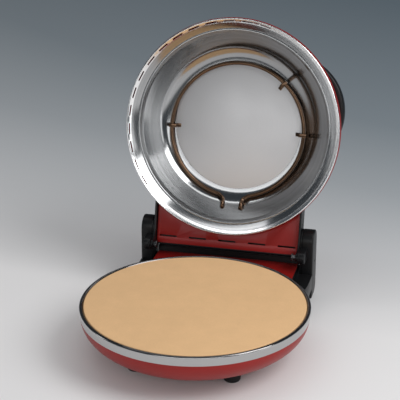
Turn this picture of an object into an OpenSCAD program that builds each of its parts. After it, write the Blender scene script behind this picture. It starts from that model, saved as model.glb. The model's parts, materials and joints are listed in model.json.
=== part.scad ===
// Electric pizza maker: a round bowl-shaped base with a pizza stone, and a domed heated lid hinged at the back.
// Z = 0 is the table, the Z axis is the stone's axis, and the lid stands open.

/* [Rims] */
// Height of the base rim above the table
rim_height = 82; // [76:1:95]
// Outer radius of the base rim and of the lid rim
rim_r = 175; // [173:1:185]
// Height of the chrome band round the base
band_depth = 15; // [11:0.5:18]
// Width of the rolled edge on the base rim
rolled_edge = 6; // [5:0.5:6.5]

/* [Bowl] */
// Radius of the flat floor under the bowl
bowl_floor_r = 75; // [66:1:84]
// Clearance of the bowl floor above the table
bowl_clearance = 13; // [10:0.5:18]
// Thickness of the painted sheet steel
steel_t = 1.2; // [0.8:0.1:1.6]
// Radius of the service opening in the bowl floor
service_r = 52; // [40:1:58]
// How far the bottom plate reaches past the service opening
cover_lap = 10; // [8:0.5:12]

/* [Stone] */
// Thickness of the pizza stone
stone_t = 12; // [10:0.5:14]
// Radial clearance of the stone in its rim
stone_clearance = 0.6; // [0.3:0.1:1]
// Width of the ledge that carries the stone
ledge_w = 12; // [10:0.5:14]
// Chamfer round the stone
stone_chamfer = 1.2; // [0.5:0.1:2]

/* [Heating] */
// Thickness of the pans and reflectors
pan_t = 0.8; // [0.6:0.1:1]
// Radius of the heating element tubes
tube_r = 3.4; // [3:0.1:3.8]
// Radius of the lower element ring
lower_ring_r = 112; // [100:1:116]
// How far the upper element ring reaches beyond the reflector floor
ring_overhang = 3.8; // [2:0.1:4.2]
// Offset of the upper element ring towards the hinge
upper_ring_offset = 8; // [3:0.5:9]
// Half the gap between the ends of the upper element ring
upper_gap_half = 25; // [23:0.5:28]
// Distance of each upper element leg from the centre line
leg_x = 15.5; // [13:0.5:18]
// Depth of the upper element ring inside the lid
upper_ring_depth = 49.5; // [47:0.5:50]
// Depth of the lid's flat reflector floor
lid_floor_depth = 56; // [55:0.5:58]
// Distance of the reflector floor's edge from the outside of the rim
floor_inset = 69; // [68:0.5:72]
// Diameter of the ceramic collars on the element legs
bush_d = 11; // [9.5:0.5:12]

/* [Lid] */
// Angle by which the lid stands open
lid_angle = 104.4; // [98:0.2:106]
// Gap between the two rims when the lid is closed
lid_gap = 0.5; // [0.3:0.1:1.5]
// Height of the dome above the lid rim
dome_height = 105; // [100:1:112]
// Widest bulge of the dome past the rim
dome_bulge = 1.3; // [0.5:0.1:2.5]
// Number of vent slots in the lid rim
vent_count = 15; // [10:1:15]
// Place of the first vent slot, in degrees round the lid
vent_first = 145; // [140:1:150]
// Degrees from one vent slot to the next
vent_pitch = 10; // [9:0.5:10]
// Length of each vent slot in degrees of the rim
vent_span = 6.3; // [4:0.1:7]
// Width of each vent slot
vent_w = 2.6; // [2:0.1:3]

/* [Hinge] */
// Distance of the hinge axis behind the base rim
hinge_reach = 24.8; // [24:0.2:27]
// Depth of the hinge axis below the base rim
hinge_drop = 0.2; // [0:0.1:2]
// Radius of the hinge pins
pin_r = 4; // [3.5:0.1:4.5]
// Running clearance of the hinge pins in the brackets
pin_clearance = 0.05; // [0.02:0.01:0.09]
// Radius of the eye round each hinge pin
eye_r = 7; // [6.5:0.1:7.2]
// Half the width of the lid's slotted hinge plate
plate_half = 117.3; // [112:0.1:119]
// Distance of the hinge plate's rear edge behind the hinge axis
plate_set = 0.2; // [-1:0.1:2]
// Height of the hinge plate above the base rim when closed
plate_rise = 20.4; // [19.4:0.2:24]
// Number of slots in the hinge plate
plate_slots = 5; // [3:1:7]
// Spacing of the slots in the hinge plate
plate_slot_pitch = 49.4; // [36:0.2:52]
// Length of each slot in the hinge plate
plate_slot_l = 29.4; // [20:0.2:32]
// Width of each slot in the hinge plate
plate_slot_w = 2.8; // [2:0.1:4]
// Thickness of the hinge brackets
bracket_t = 3; // [2.5:0.1:3.6]
// Width of each hinge housing
housing_w = 18.8; // [16:0.2:24]
// Depth of each hinge housing from front to back
housing_l = 38; // [34:1:42]
// Distance of the hinge housings' front faces behind the hinge axis
housing_set = 17.5; // [16:0.5:19]
// Height of the hinge housings above the base rim
housing_rise = 34; // [28:1:40]
// Wall thickness of the plastic mouldings
wall = 2.8; // [2:0.1:3.4]

/* [Rear] */
// Depth of the red hinge shelf below the base rim
shelf_drop = 26.2; // [25:0.2:28]
// Distance of the red hinge shelf's rear edge behind the hinge axis
shelf_reach = 32.8; // [31:0.2:34]
// Height of the rear wall above the shelf
wall_rise = 8.2; // [6:0.2:9]
// Depth of the rear moulding behind the red shelf
rear_depth = 21.4; // [19.4:0.2:27]
// Depth of the fairings' tops below the base rim
fairing_drop = 37; // [34:1:42]
// Distance of the rubber stops from the centre line
stop_x = 70; // [50:1:100]
// Distance of the inlet from the centre line, on the left
inlet_reach = 70; // [40:1:90]
// Radius of the cord's hole in the inlet
inlet_r = 4.2; // [3.5:0.1:5]

/* [Feet] */
// Radius of each foot
foot_r = 13; // [10:0.5:15]
// Distance of the front feet from the stone's axis
front_foot_reach = 104; // [96:1:108]
// Radius of each rear foot
rear_foot_r = 8; // [6:0.5:8.5]
// Height of each rear foot under its hinge housing
rear_foot_h = 3; // [2:0.5:4]

/* [Controls] */
// Direction of the control pod, in degrees from the front towards the right
pod_turn = 70; // [60:1:80]
// Distance of the pod's own centre inside the lid's edge
pod_inset = 85; // [81:1:89]
// Radius of the pod
pod_r = 90.5; // [88:0.5:94]
// Depth of the pod's underside above the lid rim
pod_low = 32; // [28:1:38]
// Height of the pod's top above the lid rim
pod_high = 104; // [101:0.5:108]
// Radius of the control knobs
knob_r = 16; // [13:0.5:17]
// Height of the control knobs
knob_h = 13; // [10:0.5:16]
// Angle of each knob from the pod's middle, seen from the lid's axis
knob_turn = 9.5; // [8.5:0.5:12]
// Distance of the knobs' axes inside the lid's edge
knob_inset = 29; // [26:0.5:32]
// Radius of the control shafts
shaft_r = 3; // [2.5:0.1:3.4]

/* [Handle] */
// Distance of the handle bar inside the lid's edge
handle_inset = 22; // [19:1:27]
// Height of the handle bar above the lid rim
handle_rise = 112; // [108:1:116]
// Radius of the handle bar
handle_r = 8; // [7:0.5:9]
// Half the angle that the handle bar covers
handle_half_turn = 20; // [16:1:24]

/* [Hidden] */
$fn = 96;

touch = 0.01;
hinge_y = rim_r + hinge_reach;
hinge_z = rim_height - hinge_drop;
lid_z = rim_height + lid_gap;
shoulder_z = rim_height - band_depth;
ledge_z = rim_height - stone_t;
band_foot_r = rim_r - 1.3;
bowl_top_r = band_foot_r - 0.4;
rolled_r = rolled_edge / 2;
rim_inner_r = rim_r - rolled_edge;
stone_r = rim_inner_r - stone_clearance;
ledge_inner_r = rim_inner_r - ledge_w;

// Rear parts
plate_rear = hinge_y + plate_set;
shelf_rear = hinge_y + shelf_reach;
rear_y = shelf_rear + rear_depth;
shelf_z = rim_height - shelf_drop;
shelf_half = plate_half + 0.1;
shelf_low = shelf_z - steel_t;
moulding_top = shelf_z + wall_rise;
moulding_low = rim_height - 58;
bracket_in = plate_half + steel_t;
bracket_out = bracket_in + bracket_t;
cover_in = bracket_out + 0.6;
cover_t = 2.3;
housing_in = cover_in + cover_t;
housing_out = housing_in + housing_w;
housing_front = hinge_y + housing_set;
housing_top_r = housing_l / 2;
housing_low = rear_foot_h;
wall_front = shelf_rear + 0.5;
cover_z = moulding_top + 2;
back_cover_t = 2.3;

// Lid profile: radius and depth from the rim plane
vent_out_r = rim_r - 1.2;
vent_in_r = rim_r - 7.1;
vent_depth = 5.4;
flange_r = rim_r - 16.4;
lid_floor_r = rim_r - floor_inset;
upper_ring_r = lid_floor_r + ring_overhang;
flange_depth = 14.2;
plate_z = rim_height + plate_rise;

// Control pod
pod_angle = pod_turn - 90;
pod_centre = rim_r - pod_inset;
knob_reach = rim_r - knob_inset;
handle_reach = rim_r - handle_inset;
pod_chamfer = 3;
pod_waist = 50;
pod_top_r = pod_r - 13.5;

function unit(v) = v / norm(v);
function left_of(v) = [-v[1], v[0]];
function step(p, i) = left_of(unit(p[i + 1] - p[i]));
function mitre(p, i) =
    i == 0 ? step(p, 0)
    : i == len(p) - 1 ? step(p, i - 1)
    : let (a = step(p, i - 1), b = step(p, i)) (a + b) / (1 + a * b);
function beside(p, t) = [for (i = [0:len(p) - 1]) p[i] + t * mitre(p, i)];
function backwards(p) = [for (i = [len(p) - 1:-1:0]) p[i]];
function arc(centre, rx, ry, from, to, steps) =
    [for (i = [0:steps]) let (a = from + (to - from) * i / steps) centre + [rx * cos(a), ry * sin(a)]];

// Bowl: a quarter ellipse from the flat floor up to the band
bowl_rx = bowl_top_r - bowl_floor_r;
bowl_rz = shoulder_z - bowl_clearance;
bowl_curve = arc([bowl_floor_r, shoulder_z], bowl_rx, bowl_rz, -90, 0, 14);
bowl_path = concat(
    [[service_r, bowl_clearance]], bowl_curve,
    [[rim_inner_r - touch, shoulder_z], [rim_inner_r - touch, ledge_z], [ledge_inner_r, ledge_z]]);

// Dome: an elliptical shoulder and a flat-topped crown, radius and height above the lid rim
crown_r = 88;
dome_shoulder = arc([crown_r, 0], rim_r + dome_bulge - crown_r, dome_height - 6, 4.6, 84, 15);
dome_crown = [[44, dome_height - 1.6], [16, dome_height], [0, dome_height]];
dome_path = concat(dome_shoulder, dome_crown);
dome_foot_r = dome_path[0][0];
dome_foot_depth = dome_path[0][1];

// Reflector: flange, bead, sloping wall, bend and the seat of its flat floor
wall_slope = 50;
wall_top = [flange_r - 5.2, flange_depth + 3];
wall_run = wall_top[0] - lid_floor_r;
wall_drop = lid_floor_depth - wall_top[1];
wall_bend_r = (wall_run * sin(wall_slope) - wall_drop * cos(wall_slope)) / (1 - cos(wall_slope));
reflector_path = concat(
    [[vent_in_r, vent_depth], [flange_r, flange_depth]],
    [[flange_r - 1.6, flange_depth - 1.2], [flange_r - 3.6, flange_depth]], [wall_top],
    arc([lid_floor_r, lid_floor_depth - wall_bend_r], wall_bend_r, wall_bend_r, 90 - wall_slope, 84, 10),
    [[lid_floor_r - 1, lid_floor_depth]]);

module turned(path) rotate_extrude() polygon(path);

module turned_sheet(path, t) rotate_extrude() polygon(concat(path, backwards(beside(path, t))));

module mirrored() {
    children();
    mirror([1, 0, 0]) children();
}

module left_side() mirror([1, 0, 0]) children();

module block(x, y, z) translate([x[0], y[0], z[0]]) cube([x[1] - x[0], y[1] - y[0], z[1] - z[0]]);

module bowl_solid(grow = 0)
    turned(concat([[0, bowl_clearance - grow]], beside(bowl_curve, -grow), [[0, shoulder_z]]));

// Places a lid part, drawn closed over the base, at the open rest position
module on_lid()
    translate([0, hinge_y, hinge_z]) rotate([-lid_angle, 0, 0]) translate([0, -hinge_y, -hinge_z]) children();

module above_rim() on_lid() translate([0, 0, lid_z]) children();

module dome_solid(grow = 0)
    turned(concat([[0, dome_foot_depth]], [[dome_foot_r + grow, dome_foot_depth]],
        beside(dome_path, -grow), [[0, dome_height + grow]]));

module tube_between(a, b, r) {
    run = b - a;
    tilt = acos(run[2] / norm(run));
    heading = atan2(run[1], run[0]);
    translate(a) rotate([0, tilt, heading]) cylinder(r = r, h = norm(run), $fn = 32);
}

module element_ring(ring_r, gap_angle) rotate([0, 0, 90 + gap_angle])
    rotate_extrude(angle = 360 - 2 * gap_angle) translate([ring_r, 0]) circle(r = tube_r, $fn = 32);

// ---- Base ----

module base_bowl() color("#8a2f2c") difference() {
    turned_sheet(bowl_path, steel_t);
    for (a = bottom_screw_angles) rotate([0, 0, a])
        translate([service_r + cover_lap / 2, 0, bowl_clearance - steel_t])
            cylinder(r = screw_r + 0.15, h = 4 * steel_t, $fn = 24);
}

rim_path = concat(
    [[band_foot_r, shoulder_z + touch], [rim_r, rim_height - rolled_r]],
    arc([rim_r - rolled_r, rim_height - rolled_r], rolled_r, rolled_r, 15, 180, 9),
    [[rim_inner_r, shoulder_z + touch]]);

module base_rim() color("#c9ccce") turned_sheet(rim_path, 1);

pan_rim_z = ledge_z - steel_t;
pan_floor_z = ledge_z - 30;
pan_wall_r = ledge_inner_r - 7;
pan_path = [[0, pan_floor_z], [pan_wall_r - 18, pan_floor_z], [pan_wall_r, pan_rim_z - 5],
    [pan_wall_r + 1.2, pan_rim_z - pan_t], [ledge_inner_r + ledge_w / 2, pan_rim_z - pan_t]];

module heater_pan() color("#b8babb") difference() {
    turned_sheet(pan_path, pan_t);
    lower_leg_bores(bush_d / 2);
}

lower_element_z = pan_floor_z + 12;
lower_gap_angle = 7;
lower_leg_x = lower_ring_r * sin(lower_gap_angle);
lower_leg_end = pan_wall_r + 10;
lower_bush_l = 16;
terminal_y = hinge_y + 6.2;
bend_swell = 0.2;

module lower_leg_bores(r) mirrored()
    translate([lower_leg_x, lower_ring_r + 10, lower_element_z]) rotate([-90, 0, 0])
        cylinder(r = r, h = rim_r - lower_ring_r - 3, $fn = 32);

module lower_insulation() color("#d8d4c6") difference() {
    translate([0, 0, pan_floor_z - 11]) cylinder(r = lower_ring_r, h = 11);
    translate([0, 0, pan_floor_z - 12]) cylinder(r = service_r - 20, h = 13);
}

module lower_element() color("#5a4a3c") {
    translate([0, 0, lower_element_z]) element_ring(lower_ring_r, lower_gap_angle);
    mirrored() {
        translate([lower_leg_x, lower_ring_r * cos(lower_gap_angle), lower_element_z]) {
            sphere(r = tube_r + bend_swell, $fn = 32);
            rotate([-90, 0, 0])
                cylinder(r = tube_r, h = lower_leg_end - lower_ring_r * cos(lower_gap_angle), $fn = 32);
        }
    }
}

module lower_element_clips() color("#b0b2b3") for (a = [-90, 0, 180]) rotate([0, 0, a])
    translate([lower_ring_r, 0, 0]) difference() {
        block([-5, 5], [-3, 3], [pan_floor_z + pan_t, lower_element_z]);
        translate([0, 5, lower_element_z]) rotate([90, 0, 0]) cylinder(r = tube_r + 0.02, h = 10, $fn = 32);
    }

module lower_bushes() color("#e8e4da") mirrored() difference() {
    translate([lower_leg_x, pan_wall_r - lower_bush_l, lower_element_z]) rotate([-90, 0, 0])
        cylinder(r = bush_d / 2 - 0.1, h = lower_bush_l, $fn = 32);
    translate([lower_leg_x, pan_wall_r - lower_bush_l - 1, lower_element_z]) rotate([-90, 0, 0])
        cylinder(r = tube_r + 0.02, h = lower_bush_l + 2, $fn = 32);
}

screw_r = 1.5;
screw_head_r = 3;
screw_head_h = 1.8;
bottom_screw_angles = [45, 135, 225, 315];

module bottom_plate() color("#3a3c3e") difference() {
    translate([0, 0, bowl_clearance - steel_t]) cylinder(r = service_r + cover_lap, h = steel_t);
    for (a = bottom_screw_angles) rotate([0, 0, a])
        translate([service_r + cover_lap / 2, 0, bowl_clearance - 2 * steel_t])
            cylinder(r = screw_r + 0.15, h = 4 * steel_t, $fn = 24);
    for (i = [-3:3], side = [-1, 1])
        block([i * 11 - 1.5, i * 11 + 1.5], side > 0 ? [10, 30] : [-30, -10], [bowl_clearance - 3, bowl_clearance + 1]);
}

module bottom_screws() color("#c0c2c4") for (a = bottom_screw_angles) rotate([0, 0, a])
    translate([service_r + cover_lap / 2, 0, bowl_clearance - steel_t]) {
        translate([0, 0, -screw_head_h]) cylinder(r = screw_head_r, h = screw_head_h, $fn = 32);
        cylinder(r = screw_r, h = 8, $fn = 24);
    }

module front_feet() color("#1e2022") difference() {
    for (a = [-45, -135]) rotate([0, 0, a]) translate([front_foot_reach, 0, 0]) {
        cylinder(r1 = foot_r - 1.5, r2 = foot_r, h = 3);
        translate([0, 0, 3]) cylinder(r = foot_r, h = bowl_clearance + 8);
    }
    bowl_solid();
}

foot_stem_r = 3;

module at_rear_foot() translate([(housing_in + housing_out) / 2, housing_front + 16, 0]) children();

module rear_feet() color("#1e2022") mirrored() at_rear_foot() {
    cylinder(r1 = rear_foot_r - 1, r2 = rear_foot_r, h = rear_foot_h);
    cylinder(r = foot_stem_r, h = rear_foot_h + wall + 2, $fn = 48);
}

// ---- Rear moulding and hinge ----

moulding_front = rim_r - 41;
fairing_top = rim_height - fairing_drop;
fairing_low = moulding_low - 4;
fairing_nose = 30;
fairing_side = housing_front - 31;
fairing_run = 70;
fairing_in = housing_out - fairing_nose - 3;
fairing_curve = concat([[housing_out, housing_front]],
    arc([housing_out - fairing_nose, fairing_side], fairing_nose, fairing_run, 0, -90, 10));

// Plan of one fairing, which runs forward from a hinge housing and round into the bowl
module fairing_plan(inset) polygon(concat([[fairing_in, housing_front - inset]], beside(fairing_curve, -inset),
    [[fairing_in, fairing_side - fairing_run + inset]]));

// Outline of the moulding, shrunk by the wall and opened downwards where it is hollowed
module moulding_outline(inset) {
    floor_z = inset > 0 ? moulding_low - 1 : moulding_low;
    flank_z = inset > 0 ? fairing_low + inset : fairing_low;
    back = rear_y - 2 - inset;
    block([-cover_in + inset, cover_in - inset], [moulding_front, back], [floor_z, fairing_top - inset]);
    block([-shelf_half + inset, shelf_half - inset], [moulding_front, back], [floor_z, shelf_low - inset]);
    block([-shelf_half + inset, shelf_half - inset], [wall_front + inset, back], [floor_z, moulding_top - inset]);
    mirrored() translate([0, 0, flank_z]) linear_extrude(fairing_top - inset - flank_z) fairing_plan(inset);
}

module bowl_clear(grow) {
    bowl_solid(grow);
    translate([0, 0, shoulder_z - 3]) cylinder(r = rim_r + 0.4 + grow, h = 60);
}

module rear_moulding() color("#1f2226") difference() {
    moulding_outline(0);
    difference() {
        moulding_outline(wall);
        bowl_clear(wall);
    }
    bowl_clear(0.02);
    translate([inlet_x, rear_y + 1, inlet_z]) rotate([90, 0, 0]) cylinder(r = inlet_r + 4, h = wall + 4, $fn = 48);
    lower_leg_bores(bush_d / 2);
}

module rear_bottom_plate() color("#26292c") difference() {
    block([-cover_in + wall + 0.2, cover_in - wall - 0.2], [moulding_front, rear_y - 2 - wall - 0.2],
        [moulding_low, moulding_low + 2]);
    bowl_clear(wall + 0.2);
}

module rear_cover() color("#1a1c1f") {
    block([-shelf_half, shelf_half], [wall_front, rear_y - 2], [moulding_top, cover_z]);
    block([-shelf_half, shelf_half], [rear_y - 2, rear_y], [moulding_top - cover_lip, cover_z]);
}

shelf_front = rim_r - 65;

module hinge_shelf() color("#8c2b2c") difference() {
    block([-shelf_half, shelf_half], [shelf_front, shelf_rear], [shelf_low, shelf_z]);
    bowl_clear(0.3);
}

module rear_seal() color("#17191b") difference() {
    intersection() {
        translate([0, 0, shelf_z]) cylinder(r = rim_r + 0.5, h = 4);
        block([-shelf_half, shelf_half], [shelf_front, rim_r + 2], [shelf_z, shelf_z + 4]);
    }
    bowl_solid(0.02);
}

lobe_r = 10;
lobe_w = 9;
housing_corner = 16;

module housing_side(inset) {
    y0 = housing_front + inset;
    y1 = housing_front + housing_l - inset;
    corner = housing_corner - inset;
    top_centre = rim_height + housing_rise - housing_top_r;
    translate([housing_front + housing_top_r, top_centre]) circle(r = housing_top_r - inset);
    translate([y0, housing_low + inset]) square([y1 - y0 - corner, housing_corner]);
    translate([y0, housing_low + housing_corner]) square([y1 - y0, top_centre - housing_low - housing_corner]);
    translate([y1 - corner, housing_low + housing_corner]) circle(r = corner);
}

// Lobe that reaches forward from a housing to the hinge pin
module lobe_side(inset) {
    translate([hinge_y, hinge_z]) circle(r = lobe_r - inset);
    translate([hinge_y, hinge_z - lobe_r + inset]) square([housing_set + wall, 2 * (lobe_r - inset)]);
}

// Extrudes a side profile, drawn as y and z, along X
module along_x(from, to) translate([from, 0, 0]) rotate([90, 0, 90]) linear_extrude(to - from) children();

module hinge_housing() difference() {
    union() {
        difference() {
            along_x(housing_in, housing_out) housing_side(0);
            along_x(housing_in - 1, housing_out - wall) housing_side(wall);
        }
        along_x(housing_in, housing_in + lobe_w) lobe_side(0);
    }
    pin_cylinder(housing_in - 1, housing_in + lobe_w - 2, pin_r);
    translate([housing_out - 1.6, housing_front + 20, rim_height - 20]) rotate([0, 90, 0])
        cylinder(r = 2, h = 3, $fn = 32);
    at_rear_foot() translate([0, 0, housing_low - 1]) cylinder(r = foot_stem_r + 0.05, h = wall + 2, $fn = 48);
}

module pin_cylinder(from, to, r) translate([from, hinge_y, hinge_z]) rotate([0, 90, 0])
    cylinder(r = r, h = to - from, $fn = 48);

module hinge_housing_left() color("#1f2226") left_side() hinge_housing();

module hinge_housing_right() color("#1f2226") hinge_housing();

module hinge_cover() difference() {
    along_x(cover_in, housing_in) {
        housing_side(0.3);
        lobe_side(0.3);
    }
    pin_cylinder(cover_in - 1, housing_in + 1, pin_r + 0.3);
}

module hinge_cover_left() color("#24272b") left_side() hinge_cover();

module hinge_cover_right() color("#24272b") hinge_cover();

module hinge_pins() color("#c4c6c8") mirrored() {
    pin_cylinder(bracket_in - 5, housing_in + lobe_w - 2, pin_r);
    pin_cylinder(bracket_in - 7, bracket_in - 5, pin_r + 2);
}

// The open lid's back cover comes to rest just above the stops
stop_r = 4;
stop_y = wall_front + stop_r;
back_face = plate_rear + back_cover_t - hinge_y;
stop_lever = (stop_y + stop_r - hinge_y - back_face * cos(lid_angle)) / sin(lid_angle);
stop_h = hinge_z - back_face * sin(lid_angle) + stop_lever * cos(lid_angle) - cover_z - 0.3;

module lid_stops() color("#111214") for (x = [-stop_x, stop_x]) translate([x, stop_y, cover_z])
    cylinder(r = stop_r, h = stop_h);

inlet_x = -inlet_reach;
cover_lip = 12;
inlet_z = moulding_low + 16;

module terminal_block() color("#e6e2d8") difference() {
    block([-22, 22], [terminal_y, terminal_y + 16], [shelf_low - wall - 14, shelf_low - wall]);
    for (i = [-1:1]) translate([i * 14, terminal_y + 17, shelf_low - wall - 7])
        rotate([90, 0, 0]) cylinder(r = 2, h = 20, $fn = 24);
}

module power_inlet() color("#141618") translate([inlet_x, rear_y - 2 - wall, inlet_z]) rotate([-90, 0, 0]) difference() {
    union() {
        cylinder(r = inlet_r + 3.9, h = wall + touch, $fn = 48);
        translate([0, 0, wall]) cylinder(r = inlet_r + 6, h = 3, $fn = 48);
        translate([0, 0, -3]) cylinder(r = inlet_r + 6, h = 3, $fn = 48);
    }
    translate([0, 0, -4]) cylinder(r = inlet_r, h = wall + 8, $fn = 48);
}

// ---- Stone ----

module pizza_stone() color("#e4bf92") turned([[0, ledge_z + touch], [stone_r - stone_chamfer, ledge_z + touch],
    [stone_r, ledge_z + stone_chamfer], [stone_r, rim_height - stone_chamfer],
    [stone_r - stone_chamfer, rim_height - 0.3], [0, rim_height - 0.3]]);

// ---- Lid, drawn as it lies closed over the base ----

module lid_dome() color("#8a2f2c") above_rim() difference() {
    turned_sheet(dome_path, steel_t);
    rotate([0, 0, pod_angle]) for (a = [-knob_turn, knob_turn]) rotate([0, 0, a])
        translate([knob_reach + 6, 0, 60]) cylinder(r = 4, h = 60, $fn = 32);
}

lid_rim_path = [[dome_foot_r - 0.1, dome_foot_depth - 0.15], [dome_foot_r - 0.1, dome_foot_depth - 2.5],
    [rim_r, 1.6], [rim_r - 0.5, 0.5], [vent_out_r - 0.4, 0], [vent_out_r - 1.2, 0.5], [vent_in_r, vent_depth]];

module lid_rim() color("#cfd2d4") above_rim() difference() {
    turned_sheet(lid_rim_path, -1);
    for (i = [0:vent_count - 1]) rotate([0, 0, vent_first + i * vent_pitch])
        translate([(vent_out_r + vent_in_r) / 2 - 0.5, 0, vent_depth / 2 + 0.2]) rotate([0, 45, 0])
            cube([vent_w, 2 * PI * vent_in_r * vent_span / 360, 8], center = true);
}

liner_path = [[dome_foot_r - steel_t - 1.5, dome_foot_depth + 2], [vent_in_r + 1, dome_foot_depth + 6],
    [flange_r + 5, flange_depth + 1], [flange_r + 1.6, flange_depth + pan_t + 0.2]];

module vent_liner() color("#4a1416") above_rim() turned_sheet(liner_path, -1);

module lid_insulation() color("#d8d4c6") above_rim()
    translate([0, 0, lid_floor_depth + pan_t + touch]) cylinder(r = lid_floor_r - 4, h = 24);

module lid_reflector() color("#c4c7c8") above_rim() difference() {
    turned_sheet(reflector_path, -pan_t);
    upper_leg_ends(bush_d / 2 - 1);
}

module reflector_floor() color("#b4b4b4") above_rim()
    translate([0, 0, lid_floor_depth]) cylinder(r = lid_floor_r - 1 - touch, h = pan_t);

function leg_foot() = [leg_x, upper_ring_r + upper_ring_offset + 3.7, upper_ring_depth - 3];
function leg_knee() = leg_foot() + 14 * [0, cos(wall_slope), -sin(wall_slope)];
function leg_head() = leg_knee() + 15 * [0, sin(wall_slope), cos(wall_slope)];
upper_gap_angle = asin(upper_gap_half / upper_ring_r);
function ring_end() = [upper_gap_half, upper_ring_offset + upper_ring_r * cos(upper_gap_angle), upper_ring_depth];

module upper_leg_ends(r) mirrored() tube_between(leg_knee(), leg_head(), r);

module upper_element() color("#6b4a34") above_rim() {
    translate([0, upper_ring_offset, upper_ring_depth]) element_ring(upper_ring_r, upper_gap_angle);
    upper_leg_ends(tube_r);
    mirrored() {
        tube_between(ring_end(), leg_foot(), tube_r);
        tube_between(leg_foot(), leg_knee(), tube_r);
        translate(ring_end()) sphere(r = tube_r + bend_swell, $fn = 32);
        translate(leg_foot()) sphere(r = tube_r + bend_swell, $fn = 32);
        translate(leg_knee()) sphere(r = tube_r + bend_swell, $fn = 32);
    }
}

upper_clip_angles = [-48, 0, 180];
clip_gap = tube_r + 0.3;

clip_front = upper_ring_depth - clip_gap - 1;
clip_foot = 8;

// Bent strips that stand on the reflector floor and hook over the element
module upper_element_clips() color("#b9bbbc") above_rim() translate([0, upper_ring_offset, 0])
    for (a = upper_clip_angles) rotate([0, 0, a]) translate([upper_ring_r, 0, 0]) {
        block([-clip_foot, -clip_foot + 1], [-3, 3], [clip_front, lid_floor_depth]);
        block([-clip_foot, clip_gap + 1], [-3, 3], [clip_front, clip_front + 1]);
        block([clip_gap, clip_gap + 1], [-3, 3], [clip_front, upper_ring_depth]);
        block([-clip_foot - 6, -clip_foot + 1], [-3, 3], [lid_floor_depth - 1, lid_floor_depth]);
    }

module upper_bushes() color("#cfcabd") above_rim() mirrored() difference() {
    run = leg_head() - leg_knee();
    tube_between(leg_head() - 0.7 * run, leg_head(), bush_d / 2 - 1.1);
    tube_between(leg_knee(), leg_head() + 0.25 * run, tube_r + 0.02);
}

plate_front = rim_r - 79;

module lid_clear(grow) translate([0, 0, lid_z]) {
    dome_solid(grow);
    translate([0, 0, -1]) cylinder(r = rim_r + 0.3 + grow, h = dome_foot_depth + 2);
}

flange_h = 14;

module hinge_plate() color("#8c3a38") on_lid() difference() {
    union() {
        block([-plate_half, plate_half], [plate_front, plate_rear], [plate_z, plate_z + steel_t]);
        block([-plate_half, plate_half], [plate_rear - steel_t, plate_rear], [plate_z, plate_z + flange_h]);
        mirrored() block([plate_half - steel_t, plate_half], [plate_front + 20, plate_rear],
            [plate_z, plate_z + flange_h]);
    }
    lid_clear(0);
    for (i = [0:plate_slots - 1])
        translate([(i - (plate_slots - 1) / 2) * plate_slot_pitch, plate_rear - 12, plate_z]) {
            cube([plate_slot_l - plate_slot_w, plate_slot_w, 8], center = true);
            for (x = [-0.5, 0.5]) translate([x * (plate_slot_l - plate_slot_w), 0, -4])
                cylinder(d = plate_slot_w, h = 8, $fn = 24);
        }
    mirrored() bracket_screw_holes();
}

back_cover_top = plate_z + flange_h + 8;

module hinge_back_cover() color("#1f2226") on_lid() difference() {
    block([-bracket_in, bracket_in], [plate_front, plate_rear + back_cover_t], [plate_z + 2, back_cover_top]);
    block([-bracket_in - 1, bracket_in + 1], [plate_front - 1, plate_rear], [plate_z, plate_z + flange_h]);
    block([-bracket_in + wall, bracket_in - wall], [plate_front - 1, plate_rear], [plate_z, back_cover_top - wall]);
    lid_clear(0);
}

bracket_low = lid_z + 12;

module hinge_bracket() on_lid() difference() {
    along_x(bracket_in, bracket_out) {
        translate([hinge_y, hinge_z]) circle(r = eye_r, $fn = 64);
        polygon([[hinge_y - eye_r, hinge_z], [hinge_y + eye_r * cos(42), hinge_z + eye_r * sin(42)],
            [hinge_y + 6.5, bracket_low], [hinge_y + 6.5, back_cover_top - 8], [hinge_y - 1.5, back_cover_top],
            [plate_front + 20, back_cover_top], [plate_front + 20, bracket_low], [hinge_y - 24, bracket_low],
            [hinge_y - 12, hinge_z + 9]]);
    }
    pin_cylinder(bracket_in - 1, bracket_out + 1, pin_r + pin_clearance);
    lid_clear(0);
    bracket_screw_holes();
}

bracket_screw_y = [hinge_y - 49.8, hinge_y - 11.8];
bracket_screw_z = plate_z + flange_h / 2;

module bracket_screw_holes() for (y = bracket_screw_y)
    translate([plate_half - steel_t - 1, y, bracket_screw_z]) rotate([0, 90, 0])
        cylinder(r = screw_r + 0.15, h = 2 * steel_t + bracket_t + 2, $fn = 24);

module hinge_bracket_left() color("#1f2226") left_side() hinge_bracket();

module hinge_bracket_right() color("#1f2226") hinge_bracket();

// Screws through the plate's side flanges into the brackets
module bracket_screws() color("#b8babc") on_lid() mirrored() for (y = bracket_screw_y)
    translate([plate_half - steel_t, y, bracket_screw_z]) rotate([0, 90, 0]) {
        translate([0, 0, -screw_head_h]) cylinder(r = screw_head_r, h = screw_head_h, $fn = 32);
        cylinder(r = screw_r, h = 5, $fn = 24);
    }

// ---- Controls and handle ----

module at_pod() translate([pod_centre * cos(pod_angle), pod_centre * sin(pod_angle), 0]) children();

module at_knob(side) rotate([0, 0, pod_angle + side * knob_turn]) translate([knob_reach, 0, 0]) children();

module control_pod() color("#1d2023") above_rim() difference() {
    at_pod() turned([[0, pod_low], [pod_r - pod_chamfer, pod_low], [pod_r, pod_low + pod_chamfer],
        [pod_r, pod_waist], [pod_top_r + 1, pod_high - 3], [pod_top_r - 2, pod_high], [0, pod_high]]);
    at_pod() turned([[0, pod_low + wall], [pod_r - wall, pod_low + wall], [pod_r - wall, pod_waist],
        [pod_top_r - wall, pod_high - wall], [0, pod_high - wall]]);
    dome_solid(0);
    for (side = [-1, 1]) at_knob(side) translate([0, 0, pod_high - 6]) cylinder(r = shaft_r + 0.6, h = 10, $fn = 32);
    at_lamp() translate([0, 0, pod_high - 6]) cylinder(r = 3, h = 10, $fn = 32);
}

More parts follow.
